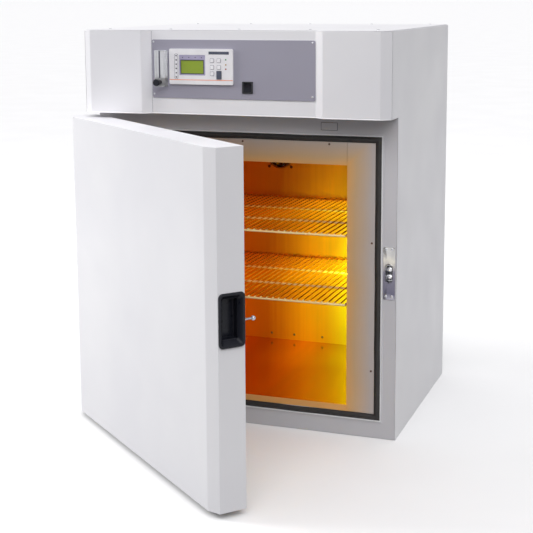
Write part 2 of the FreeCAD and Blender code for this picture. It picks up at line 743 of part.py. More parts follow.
def gas_line():
    """Tube from the barb on the back cover to the flowmeter's port, with a nut at each end."""
    start, end = vec(GAS_X, REAR + 22, GAS_Z), vec(METER_X, PANEL_Y + 0.5, METER_PORT_Z)
    rear_bend = vec(GAS_X, REAR - 60, GAS_Z)
    front_bend = vec(METER_X, RECESS_Y + 120, METER_PORT_Z)
    path = filleted_path([start, rear_bend, front_bend, end], 30.0)
    outside = Part.Wire([Part.makeCircle(GAS_TUBE_R, start, Y_AXIS)])
    inside = Part.Wire([Part.makeCircle(GAS_TUBE_BORE_R, start, Y_AXIS)])
    barbs = [(6, 3.6), (12, 4.4), (12, 3.6), (18, 4.4), (18, 3.2), (22, 3.2)]
    line = joined([
        path.makePipeShell([outside], True, True),
        rod(vec(GAS_X, REAR + 0.1, GAS_Z), Y_AXIS, 8, 6),
        rod(vec(GAS_X, REAR - SHEET - 8, GAS_Z), Y_AXIS, 8, 6.4),
        rod(vec(METER_X, RECESS_Y + SHEET + 1, METER_PORT_Z), Y_AXIS, 7, 10),
        turned(barbs, vec(GAS_X, REAR, GAS_Z), Y_AXIS),
    ])
    return line.cut(path.makePipeShell([inside], True, True))


def filleted_path(points, radius):
    """Straight runs joined by tangent arcs."""
    edges = []
    start = points[0]
    for before, corner, after in zip(points, points[1:], points[2:]):
        into = (corner - before).normalize()
        out = (after - corner).normalize()
        half_turn = into.getAngle(out) / 2
        back = radius * math.tan(half_turn)
        a, b = corner - into * back, corner + out * back
        inward = (out - into).normalize()
        middle = corner + inward * (radius / math.cos(half_turn) - radius)
        edges.append(Part.LineSegment(start, a).toShape())
        edges.append(Part.Arc(a, middle, b).toShape())
        start = b
    edges.append(Part.LineSegment(start, points[-1]).toShape())
    return Part.Wire(edges)


# ---------------------------------------------------------------- catch and hinges


def catch_slot(y0, y1):
    """Upright slot with round ends, centred on the catch."""
    straight = SLOT_HALF_H - SLOT_HALF_W
    x0, x1 = LATCH_X - SLOT_HALF_W, LATCH_X + SLOT_HALF_W
    parts = [block(x0, x1, y0, y1, LATCH_Z - straight, LATCH_Z + straight)]
    for z in (LATCH_Z - straight, LATCH_Z + straight):
        parts.append(rod(vec(LATCH_X, y0, z), Y_AXIS, SLOT_HALF_W, y1 - y0))
    return joined(parts)


def catch_block(half_w, y0, y1, half_h):
    x0, x1 = LATCH_X - half_w, LATCH_X + half_w
    return block(x0, x1, y0, y1, LATCH_Z - half_h, LATCH_Z + half_h)


def keeper():
    """Slotted plate with a box welded behind it, in which the rollers slide."""
    plate = rounded_face_block(
        LATCH_X - KEEPER_HALF_W, LATCH_X + KEEPER_HALF_W, KEEPER_Y, FRONT - 0.1,
        LATCH_Z - KEEPER_HALF_H, LATCH_Z + KEEPER_HALF_H, 2)
    plate = plate.cut(catch_slot(KEEPER_Y - 1, FRONT + 1))
    outer = catch_block(11.8, FRONT - 0.2, FRONT + 42, 35.5)
    inner = catch_block(10.6, FRONT - 1, FRONT + 40.5, 34)
    return joined([plate, outer.cut(inner)])


def roller_carriage(way):
    """U-shaped carriage with the roller's pin across it. way is +1 for the upper one."""
    centre = LATCH_Z + way * ROLLER_OFFSET
    web_z = centre + way * (ROLLER_R + 1)
    cheek_low, cheek_high = sorted((centre - way * 3.5, web_z + way * 1.2))
    web_low, web_high = sorted((web_z, web_z + way * 1.2))
    y0, y1 = ROLLER_Y - 4, ROLLER_Y + 7
    pieces = [block(LATCH_X - 10.2, LATCH_X + 10.2, y0, y1, web_low, web_high)]
    for side in (-1, 1):
        a, b = sorted((LATCH_X + side * 10.2, LATCH_X + side * 9.0))
        pieces.append(block(a, b, y0, y1, cheek_low, cheek_high))
    pieces.append(rod(vec(LATCH_X - 9.5, ROLLER_Y, centre), X_AXIS, ROLLER_PIN_R, 19))
    return joined(pieces)


def roller(way):
    """Barrel roller, thicker in the middle."""
    half = ROLLER_LENGTH / 2
    centre = vec(LATCH_X - half, ROLLER_Y, LATCH_Z + way * ROLLER_OFFSET)
    rise = [(0, ROLLER_R - 1.8), (half / 2, ROLLER_R - 0.5), (half, ROLLER_R)]
    fall = [(ROLLER_LENGTH - along, radius) for along, radius in rise[1::-1]]
    profile = rise + fall
    barrel = turned(profile, centre, X_AXIS)
    return barrel.cut(rod(centre - X_AXIS, X_AXIS, ROLLER_PIN_R + RUNNING_GAP, ROLLER_LENGTH + 2))


def roller_spring(way):
    """Compression spring between the carriage and the end of the housing."""
    near = LATCH_Z + way * (ROLLER_OFFSET + ROLLER_R + 2.4)
    far = LATCH_Z + way * 33.8
    low, high = sorted((near, far))
    wire_r, coil_r, turns = 0.5, 3.6, 5
    helix = Part.makeHelix((high - low - 2 * wire_r) / turns, high - low - 2 * wire_r, coil_r)
    circle = Part.Wire([Part.makeCircle(wire_r, vec(coil_r, 0, 0), Y_AXIS)])
    spring = Part.Wire(helix.Edges).makePipeShell([circle], True, True)
    spring.translate(vec(LATCH_X, ROLLER_Y + 1, low + wire_r))
    return spring


def ball_stud():
    """Turned stud on the door: a cone, a thin neck and a ball."""
    profile = [(0, 7.5), (2, 7.5), (14, STUD_NECK_R), (STUD_REACH - 5, STUD_NECK_R)]
    shank = turned(profile, vec(LATCH_X, DOOR_BACK, LATCH_Z), Y_AXIS)
    ball = Part.makeSphere(STUD_BALL_R, vec(LATCH_X, DOOR_BACK + STUD_REACH, LATCH_Z))
    return joined([shank, ball])


def hinge_part(level, fixed):
    """One leaf and its knuckles. The fixed leaf has the outer two, the door leaf the middle one."""
    z0, z1 = level - HINGE_HEIGHT / 2, level + HINGE_HEIGHT / 2
    third = HINGE_HEIGHT / 3
    plate_y = (FRONT + 1, FRONT + 34) if fixed else (DOOR_BACK - 34, DOOR_BACK - 1)
    spans = [(z0, z0 + third), (z1 - third, z1)] if fixed else [(z0 + third + 0.3, z1 - third - 0.3)]
    reach = sorted((PIVOT_Y, plate_y[0] + 2 if fixed else plate_y[1] - 2))
    x0, x1 = -SIDE - LEAF, -SIDE - 0.05
    parts = [block(x0, x1, plate_y[0], plate_y[1], z0, z1)]
    for low, high in spans:
        parts.append(rod(vec(PIVOT_X, PIVOT_Y, low), Z_AXIS, KNUCKLE_R, high - low))
        parts.append(block(x0, x1, reach[0], reach[1], low, high))
    bore = PIN_R if fixed else PIN_R + RUNNING_GAP
    return joined(parts).cut(rod(vec(PIVOT_X, PIVOT_Y, z0 - 1), Z_AXIS, bore, HINGE_HEIGHT + 2))


def hinge_screws(fixed):
    y = FRONT + 20 if fixed else DOOR_BACK - 20
    heads = []
    for level in HINGE_LEVELS:
        for dz in (-28, 0, 28):
            heads.append(pan_screw(vec(-SIDE - LEAF, y, level + dz), -X_AXIS, 3.6, 1.5))
    return heads


def hinge_pins():
    pins = []
    for level in HINGE_LEVELS:
        z0 = level - HINGE_HEIGHT / 2
        pins.append(rod(vec(PIVOT_X, PIVOT_Y, z0 + 0.2), Z_AXIS, PIN_R, HINGE_HEIGHT - 0.4))
    return apart(pins)


# ---------------------------------------------------------------- door


def door_outline(inset, back):
    lean = inset * 0.2
    return [
        (-SIDE + inset, back),
        (-SIDE + inset, DOOR_FACE + DOOR_BEVEL_Y + lean),
        (-SIDE + DOOR_BEVEL_X + lean, DOOR_FACE + inset),
        (SIDE - DOOR_BEVEL_X - lean, DOOR_FACE + inset),
        (SIDE - inset, DOOR_FACE + DOOR_BEVEL_Y + lean),
        (SIDE - inset, back),
    ]


def door_outer_shell():
    """Folded painted pan with bevelled uprights and a flange that the inner panel lies on."""
    flange_y = DOOR_BACK - SHEET
    outer = prism(door_outline(0, flange_y), DOOR_BOTTOM, DOOR_TOP)
    inner = prism(door_outline(SHEET, flange_y - SHEET), DOOR_BOTTOM + SHEET, DOOR_TOP - SHEET)
    x, z0, z1 = SIDE - 16, DOOR_BOTTOM + 16, DOOR_TOP - 16
    mouth = block(-x, x, flange_y - 2 * SHEET, flange_y + 1, z0, z1)
    half_y, half_z = HANDLE_CUP_Y / 2 + HANDLE_CLEAR, HANDLE_CUP_Z / 2 + HANDLE_CLEAR
    y0, y1 = HANDLE_Y - half_y, HANDLE_Y + half_y
    pocket = block(SIDE - 5, SIDE + 5, y0, y1, HANDLE_Z - half_z, HANDLE_Z + half_z)
    return hollowed(outer, [inner, mouth, pocket])


def door_handle():
    """Moulded pull sunk in the latch edge: a rim, sloping sides and a finger pocket."""
    rim = rounded_side_block(SIDE + 0.05, SIDE + 5, HANDLE_Y - HANDLE_W / 2, HANDLE_Y + HANDLE_W / 2,
                             HANDLE_Z - HANDLE_H / 2, HANDLE_Z + HANDLE_H / 2, 11)
    cup = block(SIDE - 34, SIDE + 1, HANDLE_Y - HANDLE_CUP_Y / 2, HANDLE_Y + HANDLE_CUP_Y / 2,
                HANDLE_Z - HANDLE_CUP_Z / 2, HANDLE_Z + HANDLE_CUP_Z / 2)
    mouth = handle_section(SIDE + 5.5, HANDLE_W - 10, HANDLE_H - 10, 8)
    seat = handle_section(SIDE - 10, HANDLE_W - 28, HANDLE_H - 34, 6)
    slope = Part.makeLoft([mouth, seat], True, True)
    pocket = block(SIDE - 31.5, SIDE - 9, HANDLE_Y - 22, HANDLE_Y + 22, HANDLE_Z - 48, HANDLE_Z + 48)
    return joined([rim, cup]).cut(slope).cut(pocket)


def handle_section(x, width, height, radius):
    """Rounded rectangle across X, centred on the handle."""
    y0, y1 = HANDLE_Y - width / 2, HANDLE_Y + width / 2
    z0, z1 = HANDLE_Z - height / 2, HANDLE_Z + height / 2
    slab = rounded_side_block(x, x + 1, y0, y1, z0, z1, radius)
    low = min(slab.Faces, key=lambda f: f.CenterOfMass.x)
    return low.OuterWire


def door_insulation():
    x, y1 = SIDE - 40, DOOR_BACK - 2 * SHEET - GAP
    return block(-x, x, y1 - INSULATION, y1, DOOR_BOTTOM + 20, DOOR_TOP - 20)


def door_inner_panel():
    """Flat stainless panel on the back of the door, that the gasket seals against."""
    x, z0, z1 = SIDE - 6, DOOR_BOTTOM + 6, DOOR_TOP - 6
    return rounded_face_block(-x, x, DOOR_BACK - SHEET + 0.05, DOOR_BACK, z0, z1, 6)


def door_screws():
    """Screws along the edge of the inner panel, and those of the hinge leaves."""
    heads = hinge_screws(False)
    for z in (DOOR_BOTTOM + 22, DOOR_TOP - 22):
        for x in (-380, -190, 0, 190, 380):
            heads.append(pan_screw(vec(x, DOOR_BACK, z), Y_AXIS, 3.0, 1.4))
    return apart(heads)


# ---------------------------------------------------------------- everything


def pieces():
    """Every node's name and shape."""
    made = {
        "left_side_panel": side_panel(-1),
        "right_side_panel": side_panel(1),
        "top_cover": top_cover(),
        "console_front": console_front(),
        "console_floor": console_floor(),
        "base_pan": base_pan(),
        "rear_cover": rear_cover(),
        "front_frame": front_frame(),
        "door_gasket": door_gasket(),
        "breaker_strips": breaker_strips(),
        "cabinet_insulation": cabinet_insulation(),
        "liner_left": liner_wall(-1),
        "liner_right": liner_wall(1),
        "liner_top": liner_top(),
        "liner_floor": liner_floor(),
        "liner_back": liner_back(),
        "shelf_runners": shelf_runners(),
        "cabinet_screws": apart([cabinet_screws()] + hinge_screws(True)),
        "door_switch_cover": door_switch_cover(),
        "upper_shelf": shelf(UPPER_SHELF_Z),
        "lower_shelf": shelf(LOWER_SHELF_Z),
        "floor_heater": floor_heater(),
        "temperature_probe": temperature_probe(),
        "interior_lamp": interior_lamp(),
        "fan_housing": fan_housing(),
        "fan_impeller": fan_impeller(),
        "fan_guard": fan_guard(),
        "control_panel": control_panel(),
        "controller_bezel": controller_bezel(),
        "controller_housing": controller_housing(),
        "lcd_display": lcd_display(),
        "power_switch_bezel": power_switch_bezel(),
        "power_rocker": power_rocker(),
        "flowmeter_body": flowmeter_body(),
        "flowmeter_float": flowmeter_float(),
        "flowmeter_knob": flowmeter_knob(),
        "mains_inlet": mains_inlet(),
        "gas_line": gas_line(),
        "keeper": keeper(),
        "cabinet_hinge_leaves": apart([hinge_part(level, True) for level in HINGE_LEVELS]),
        "hinge_pins": hinge_pins(),
        "door_outer_shell": opened(door_outer_shell()),
        "door_inner_panel": opened(door_inner_panel()),
        "door_insulation": opened(door_insulation()),
        "door_handle": opened(door_handle()),
        "ball_stud": opened(ball_stud()),
        "door_hinge_leaves": opened(apart([hinge_part(level, False) for level in HINGE_LEVELS])),
        "door_screws": opened(door_screws()),
    }
    for name, way in (("upper", 1), ("lower", -1)):
        made[f"{name}_roller_carriage"] = roller_carriage(way)
        made[f"{name}_roller"] = roller(way)
        made[f"{name}_roller_spring"] = roller_spring(way)
    for number, place in enumerate(key_places(), 1):
        made[f"key_{number}"] = key(place)
    return made


os.makedirs("parts", exist_ok=True)
for name, shape in pieces().items():
    if not shape.isValid():
        print("not valid:", name)
    shape.exportStep(f"parts/{name}.step")
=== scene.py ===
import json
import math
import random

import bmesh
import bpy
from mathutils import Matrix, Vector


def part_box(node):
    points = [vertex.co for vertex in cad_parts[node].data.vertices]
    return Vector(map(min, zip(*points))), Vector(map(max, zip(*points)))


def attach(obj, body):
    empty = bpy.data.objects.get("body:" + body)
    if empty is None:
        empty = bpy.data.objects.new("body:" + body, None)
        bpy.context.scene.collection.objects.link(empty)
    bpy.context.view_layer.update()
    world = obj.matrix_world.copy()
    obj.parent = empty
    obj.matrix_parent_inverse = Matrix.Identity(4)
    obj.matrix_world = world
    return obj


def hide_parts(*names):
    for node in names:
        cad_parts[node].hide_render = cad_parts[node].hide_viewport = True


# Looks of the laboratory incubator, in metres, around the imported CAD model.
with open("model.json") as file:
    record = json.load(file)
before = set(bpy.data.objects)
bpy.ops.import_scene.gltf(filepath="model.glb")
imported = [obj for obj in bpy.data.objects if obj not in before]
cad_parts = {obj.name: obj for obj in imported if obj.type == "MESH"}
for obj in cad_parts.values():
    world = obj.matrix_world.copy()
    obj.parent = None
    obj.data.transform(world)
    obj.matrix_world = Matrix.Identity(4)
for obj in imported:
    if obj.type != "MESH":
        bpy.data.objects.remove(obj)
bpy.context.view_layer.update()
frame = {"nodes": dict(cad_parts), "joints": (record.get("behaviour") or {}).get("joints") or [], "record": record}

NODES = frame["nodes"]
BODY_OF = {n: b for b, ns in frame["record"]["behaviour"]["bodies"].items() for n in ns}
SLOT_OF = {s["node"]: s["material_slot"] for s in frame["record"]["subparts"]}
JOINTS = {j["name"]: j for j in frame["joints"]}
X, Y, Z = Vector((1, 0, 0)), Vector((0, 1, 0)), Vector((0, 0, 1))

# Lengths in metres and angles in degrees.
SAME_POINT = 1e-6
ON_RIM = 1e-5
FLAT_TURN, FOLD_TURN, SHARP_TURN = 0.4, 20, 70
FINE_GRAIN = 0.00002
PRINT_DEPTH = 0.0001
CONSOLE_FACE_END = 0.2563
CONSOLE_RECESS_END, CONSOLE_RECESS_DEPTH = 0.2333, 0.0185
ROD_RADIUS, SIDE_ROD_RADIUS, WIRE_RADIUS = 0.003, 0.0025, 0.0018
random.seed(7)


# ---------------------------------------------------------------- materials


def fill_ramp(ramp, stops):
    elements = ramp.color_ramp.elements
    while len(elements) < len(stops):
        elements.new(0.5)
    for element, (place, colour) in zip(elements, stops):
        element.position = place
        element.color = (*colour, 1)


class Finish:
    """A principled material whose colour, gloss and relief come from noise in the object's space."""

    def __init__(self, name, metallic=0.0):
        self.material = bpy.data.materials.new(name)
        self.material.use_nodes = True
        self.tree = self.material.node_tree
        self.shader = self.tree.nodes["Principled BSDF"]
        self.shader.inputs["Metallic"].default_value = metallic
        self.coords = self.node("ShaderNodeTexCoord").outputs["Object"]
        self.relief = None

    def node(self, kind):
        return self.tree.nodes.new(kind)

    def link(self, source, target):
        self.tree.links.new(source, target)

    def set(self, **values):
        for name, value in values.items():
            self.shader.inputs[name.replace("_", " ")].default_value = value
        return self

    def noise(self, scale, stretch=(1, 1, 1), detail=3.0):
        mapping = self.node("ShaderNodeMapping")
        mapping.inputs["Scale"].default_value = stretch
        self.link(self.coords, mapping.inputs["Vector"])
        noise = self.node("ShaderNodeTexNoise")
        noise.inputs["Scale"].default_value = scale
        noise.inputs["Detail"].default_value = detail
        self.link(mapping.outputs["Vector"], noise.inputs["Vector"])
        return noise.outputs["Fac"]

    def ramp(self, factor, stops):
        ramp = self.node("ShaderNodeValToRGB")
        fill_ramp(ramp, stops)
        self.link(factor, ramp.inputs["Fac"])
        return ramp.outputs["Color"]

    def math(self, operation, *operands):
        """One step of arithmetic on sockets and plain numbers."""
        node = self.node("ShaderNodeMath")
        node.operation = operation
        for socket, value in zip(node.inputs, operands):
            if isinstance(value, (int, float)):
                socket.default_value = value
            else:
                self.link(value, socket)
        return node.outputs[0]

    def spread(self, value, from_low, from_high, low=0.0, high=1.0):
        """Maps a range of a socket's values to another range."""
        spread = self.node("ShaderNodeMapRange")
        bounds = {"From Min": from_low, "From Max": from_high, "To Min": low, "To Max": high}
        for name, bound in bounds.items():
            spread.inputs[name].default_value = bound
        self.link(value, spread.inputs["Value"])
        return spread.outputs["Result"]

    def axis(self, letter):
        """One coordinate of the shaded point, in the object's space."""
        split = self.node("ShaderNodeSeparateXYZ")
        self.link(self.coords, split.inputs["Vector"])
        return split.outputs[letter]

    def base(self, source):
        self.link(source, self.shader.inputs["Base Color"])
        return self

    def colour(self, dark, light, scale, stretch=(1, 1, 1), low=0.35, high=0.65):
        return self.base(self.ramp(self.noise(scale, stretch), [(low, dark), (high, light)]))

    def gloss(self, low, high, scale, stretch=(1, 1, 1), detail=3.0):
        roughness = self.spread(self.noise(scale, stretch, detail), 0.3, 0.7, low, high)
        self.link(roughness, self.shader.inputs["Roughness"])
        return self

    def bump(self, scale, depth, stretch=(1, 1, 1), detail=2.0, strength=1.0):
        bump = self.node("ShaderNodeBump")
        bump.inputs["Strength"].default_value = strength
        bump.inputs["Distance"].default_value = depth
        self.link(self.noise(scale, stretch, detail), bump.inputs["Height"])
        if self.relief is not None:
            self.link(self.relief, bump.inputs["Normal"])
        self.relief = bump.outputs["Normal"]
        self.link(self.relief, self.shader.inputs["Normal"])
        return self


def paint(name, dark, light, gloss=(0.30, 0.42)):
    """Powder coat: an even colour, a fine orange peel and a slightly uneven gloss."""
    finish = Finish(name).colour(dark, light, 3.0).gloss(*gloss, 9.0)
    return finish.bump(420, 0.00006).bump(60, 0.0001, strength=0.5).material


def brushed(name, along, metallic, gloss):
    """Brushed sheet, still without a colour, and the stretch of the scratches that run along one axis."""
    stretch = tuple(0.02 if axis == along else 1 for axis in "xyz")
    finish = Finish(name, metallic).gloss(*gloss, 420, stretch)
    return finish.bump(900, FINE_GRAIN, stretch, strength=0.35), stretch


def door_steel():
    finish, stretch = brushed("door_steel", "z", 0.9, (0.30, 0.40))
    return finish.colour((0.58, 0.58, 0.585), (0.63, 0.63, 0.63), 260, stretch, 0.3, 0.7).material


def plated(name, dark, light, gloss=(0.06, 0.16), depth=0.00001, metallic=1.0):
    """Plated or drawn metal. With a low metallic share it also scatters the light that falls on it."""
    return Finish(name, metallic).colour(dark, light, 40).gloss(*gloss, 70).bump(500, depth).material


def moulded(name, dark, light, gloss=(0.35, 0.5), grain=1400, depth=0.00003, shine=0.5):
    """Moulded plastic, rubber or wool with a grain."""
    finish = Finish(name).colour(dark, light, 25).gloss(*gloss, 60).bump(grain, depth)
    finish.set(Specular_IOR_Level=shine)
    return finish.material


WHITE_PAINT = paint("white_paint", (0.80, 0.795, 0.83), (0.84, 0.835, 0.86))
# Painted shade: a darker copy of the white paint for the front frame and the door switch cover, standing for the
# shade under the console's overhang.
FRAME_PAINT_SHADED = paint("frame_paint_shaded", (0.63, 0.62, 0.65), (0.67, 0.66, 0.69))
# Painted shade: the console's white underside made dark grey, standing for the shade under the overhang and
# throwing little light onto the frame.
UNDERSIDE_PAINTED_SHADE = paint("underside_painted_shade", (0.22, 0.22, 0.25), (0.25, 0.25, 0.28))
PANEL_GREY = paint("panel_grey", (0.315, 0.305, 0.375), (0.34, 0.33, 0.40), (0.34, 0.46))
# Painted amber lamplight on the chamber's wire: a bright highlight copy for rods and probe, and a darker shaded
# copy for the wires and rear rod.
ROD_PAINTED_LAMPLIGHT = plated("rod_painted_lamplight", (1.0, 0.72, 0.33), (1.0, 0.82, 0.43), (0.16, 0.28), metallic=0.15)
WIRE_PAINTED_SHADE = plated("wire_painted_shade", (0.46, 0.16, 0.012), (0.60, 0.22, 0.020), (0.30, 0.42))
# Painted lamplight: the black fan tinted red-brown so that it shows amber under the yellow-green chamber lamp.
FAN_PAINTED_AMBER = plated("fan_painted_amber", (0.09, 0.030, 0.010), (0.14, 0.05, 0.018), (0.4, 0.55))
STUD_STEEL = plated("stud_steel", (0.36, 0.37, 0.43), (0.50, 0.51, 0.57))
CHROME = plated("chrome", (0.74, 0.74, 0.76), (0.86, 0.86, 0.88))
DARK_SCREW = plated("dark_screw", (0.13, 0.08, 0.06), (0.19, 0.12, 0.09), (0.3, 0.45), FINE_GRAIN)
ZINC = plated("zinc", (0.60, 0.61, 0.64), (0.74, 0.75, 0.77), (0.24, 0.38), FINE_GRAIN)
BRASS = plated("brass", (0.62, 0.46, 0.18), (0.76, 0.60, 0.28), (0.18, 0.3))
RUBBER = moulded("black_rubber", (0.014, 0.012, 0.012), (0.023, 0.020, 0.019), (0.42, 0.6), 700, 0.00006)
BLACK = moulded("black_plastic", (0.010, 0.011, 0.013), (0.020, 0.021, 0.025), (0.26, 0.40), 1500, 0.00003)
HANDLE_BLACK = moulded("handle_black", (0.006, 0.007, 0.012), (0.011, 0.012, 0.019), (0.26, 0.38), 900,
                       FINE_GRAIN, 0.25)
BEZEL_WHITE = moulded("bezel_white", (0.80, 0.79, 0.82), (0.86, 0.85, 0.88), (0.3, 0.42))
KEY_WHITE = moulded("key_white", (0.84, 0.83, 0.86), (0.90, 0.89, 0.92), (0.3, 0.4))
KEY_SLATE = moulded("key_slate", (0.060, 0.070, 0.105), (0.080, 0.090, 0.130), (0.3, 0.4))
# Grey for the printed key outlines, and for the painted shade lines beside the console's recess.
MARK_AND_SHADE_GREY = moulded("mark_and_shade_grey", (0.12, 0.115, 0.16), (0.17, 0.16, 0.21))
LILAC = moulded("lcd_surround", (0.36, 0.33, 0.48), (0.42, 0.39, 0.54))
DARK_MARK = moulded("dark_mark", (0.03, 0.028, 0.05), (0.05, 0.045, 0.07))
ORANGE = moulded("orange_line", (0.85, 0.19, 0.03), (0.90, 0.25, 0.05))
SCALE_WHITE = moulded("scale_white", (0.86, 0.86, 0.88), (0.92, 0.92, 0.93))
WOOL = moulded("mineral_wool", (0.55, 0.48, 0.26), (0.72, 0.64, 0.38), (0.9, 1.0), 120, 0.001)
HOUSING = moulded("housing_black", (0.02, 0.02, 0.02), (0.035, 0.035, 0.035))


def strip_steel():
    """Brushed stainless with painted amber lamplight from the chamber: amber beside the opening, fading to grey
    further out.
    """
    finish, _ = brushed("strip_steel", "z", 0.85, (0.34, 0.44))
    low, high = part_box("liner_back")
    middle = (low.z + high.z) / 2
    beside = finish.math("SUBTRACT", finish.math("ABSOLUTE", finish.axis("X")), high.x)
    height = finish.math("ABSOLUTE", finish.math("SUBTRACT", finish.axis("Z"), middle))
    above = finish.math("SUBTRACT", height, (high.z - low.z) / 2)
    away = finish.math("MULTIPLY", finish.math("MAXIMUM", beside, above), 13.0)
    # Painted light: distance out from the opening, roughened by noise, drives the amber-to-grey fade.
    painted_glow_falloff = finish.math("ADD", away, finish.math("MULTIPLY", finish.noise(9), 0.25))
    stops = [(0.08, (0.80, 0.43, 0.15)), (0.40, (0.62, 0.42, 0.24)), (1.0, (0.48, 0.43, 0.41))]
    return finish.base(finish.ramp(painted_glow_falloff, stops)).material


def lit_steel(name, along, metallic, gloss):
    """Brushed stainless of the chamber with the lamp's amber light painted into its colour: yellow beside the
    lamp, deep orange far from it.
    """
    finish, stretch = brushed(name, along, metallic, gloss)
    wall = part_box("liner_back")[1]
    weights = Vector((1.6, 0.5, 0.7))
    weighted = finish.node("ShaderNodeVectorMath")
    weighted.operation = "MULTIPLY"
    weighted.inputs[1].default_value = weights
    finish.link(finish.coords, weighted.inputs[0])
    distance = finish.node("ShaderNodeVectorMath")
    distance.operation = "DISTANCE"
    distance.inputs[1].default_value = Vector((wall.x, wall.y, wall.z - 0.60)) * weights
    finish.link(weighted.outputs["Vector"], distance.inputs[0])
    # Painted lamplight: the colour follows the weighted distance from a point on the lamp's side of the chamber.
    streaked = finish.math("MULTIPLY_ADD", finish.noise(90, stretch), 0.10, distance.outputs["Value"])
    stops = [(0.33, (0.54, 0.36, 0.012)), (0.43, (0.60, 0.27, 0.010)), (0.54, (0.84, 0.32, 0.008)),
             (0.76, (0.56, 0.14, 0.003)), (0.95, (0.70, 0.17, 0.002))]
    return finish.base(finish.ramp(streaked, stops)).material


def keeper_chrome():
    """Bright plating with painted reflections: dark and light bands up the plate, where a polished plate mirrors
    its surroundings.
    """
    finish = Finish("keeper_chrome", 1.0).gloss(0.10, 0.2, 70).bump(500, 0.00001)
    low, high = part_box("keeper")
    height = finish.spread(finish.axis("Z"), low.z, high.z)
    # Painted reflection: bands by height stand in for what the polished plate mirrors.
    painted_reflection_bands = finish.math("MULTIPLY_ADD", finish.noise(60, (1, 1, 0.5)), 0.22, height)
    stops = [(0.05, (0.42, 0.41, 0.46)), (0.25, (0.13, 0.125, 0.17)), (0.62, (0.20, 0.19, 0.23)),
             (0.86, (0.60, 0.57, 0.50)), (1.05, (0.50, 0.49, 0.48))]
    return finish.base(finish.ramp(painted_reflection_bands, stops)).material


def clear_plastic():
    """Slightly milky acrylic."""
    finish = Finish("clear_acrylic").gloss(0.03, 0.08, 30).bump(30, 0.000004)
    finish.set(Base_Color=(0.95, 0.96, 0.98, 1), Transmission_Weight=0.70, IOR=1.35)
    return finish.material


def lamp_glass():
    """Amber glass that glows."""
    finish = Finish("lamp_glass").gloss(0.35, 0.5, 120).bump(300, 0.0001)
    finish.set(Base_Color=(1.0, 0.72, 0.30, 1), Emission_Color=(1.0, 0.50, 0.08, 1), Emission_Strength=6.0)
    return finish.material


def screen(name, dark, light):
    """A reflective display: rows of fine dots under a glossy cover."""
    finish = Finish(name).gloss(0.12, 0.2, 40)
    dots = finish.node("ShaderNodeTexBrick")
    dots.inputs["Scale"].default_value = 900
    dots.inputs["Color1"].default_value = (*light, 1)
    dots.inputs["Color2"].default_value = (*[c * 0.93 for c in light], 1)
    dots.inputs["Mortar"].default_value = (*dark, 1)
    dots.inputs["Mortar Size"].default_value = 0.03
    dots.offset = 0.0
    dots.inputs["Brick Width"].default_value = 0.5
    dots.inputs["Row Height"].default_value = 0.5
    turn = finish.node("ShaderNodeMapping")
    turn.inputs["Rotation"].default_value = (math.pi / 2, 0, 0)
    finish.link(finish.coords, turn.inputs["Vector"])
    finish.link(turn.outputs["Vector"], dots.inputs["Vector"])
    return finish.base(dots.outputs["Color"]).bump(60, FINE_GRAIN).material


def lens(name, dark, light):
    """Tinted plastic of a status light that is off."""
    finish = Finish(name).colour(dark, light, 800).gloss(0.08, 0.16, 200)
    finish.set(Transmission_Weight=0.25)
    return finish.material


DOOR_STEEL = door_steel()
STRIP_STEEL = strip_steel()
# Chamber steel, with amber lamplight painted into its colour.
LINER_STEEL = lit_steel("liner_steel", "z", 0.7, (0.36, 0.46))
FLOOR_STEEL = lit_steel("floor_steel", "y", 0.9, (0.10, 0.16))
KEEPER_CHROME = keeper_chrome()
LCD_GREEN = screen("lcd_green", (0.17, 0.24, 0.015), (0.29, 0.40, 0.020))
ACRYLIC = clear_plastic()
LAMP_GLASS = lamp_glass()


# ---------------------------------------------------------------- meshes


def piece(name, mesh, finish, body, replaced=()):
    """Puts a mesh into the scene as a piece that rides on a body."""
    obj = bpy.data.objects.new(name, mesh)
    bpy.context.scene.collection.objects.link(obj)
    mesh.materials.clear()
    mesh.materials.append(finish)
    if replaced:
        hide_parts(*replaced)
    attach(obj, body)
    return obj


def smooth(mesh, angle=32):
    """Smooth shading, but for edges that turn by more than the angle."""
    for polygon in mesh.polygons:
        polygon.use_smooth = True
    mesh.set_sharp_from_angle(angle=math.radians(angle))


def to_mesh(name, bm, angle=32, wound=False):
    """Wound meshes have faces that already agree; they may only need turning inside out."""
    if not wound:
        bmesh.ops.recalc_face_normals(bm, faces=bm.faces)
    elif bm.calc_volume(signed=True) < 0:
        bmesh.ops.reverse_faces(bm, faces=bm.faces)
    mesh = bpy.data.meshes.new(name)
    bm.to_mesh(mesh)
    bm.free()
    smooth(mesh, angle)
    return mesh


def bevel(obj, width, segments=3, angle=30, weighted=False):
    """Rounds the edges over an angle, or those that have a bevel weight."""
    modifier = obj.modifiers.new("edges", "BEVEL")
    modifier.width = width
    modifier.segments = segments
    modifier.limit_method = "WEIGHT" if weighted else "ANGLE"
    modifier.angle_limit = math.radians(angle)
    modifier.harden_normals = True
    modifier.use_clamp_overlap = not weighted
    return obj


def node_bmesh(node):
    """A node's mesh with its points joined up."""
    bm = bmesh.new()
    bm.from_mesh(NODES[node].data)
    bmesh.ops.remove_doubles(bm, verts=bm.verts, dist=SAME_POINT)
    return bm


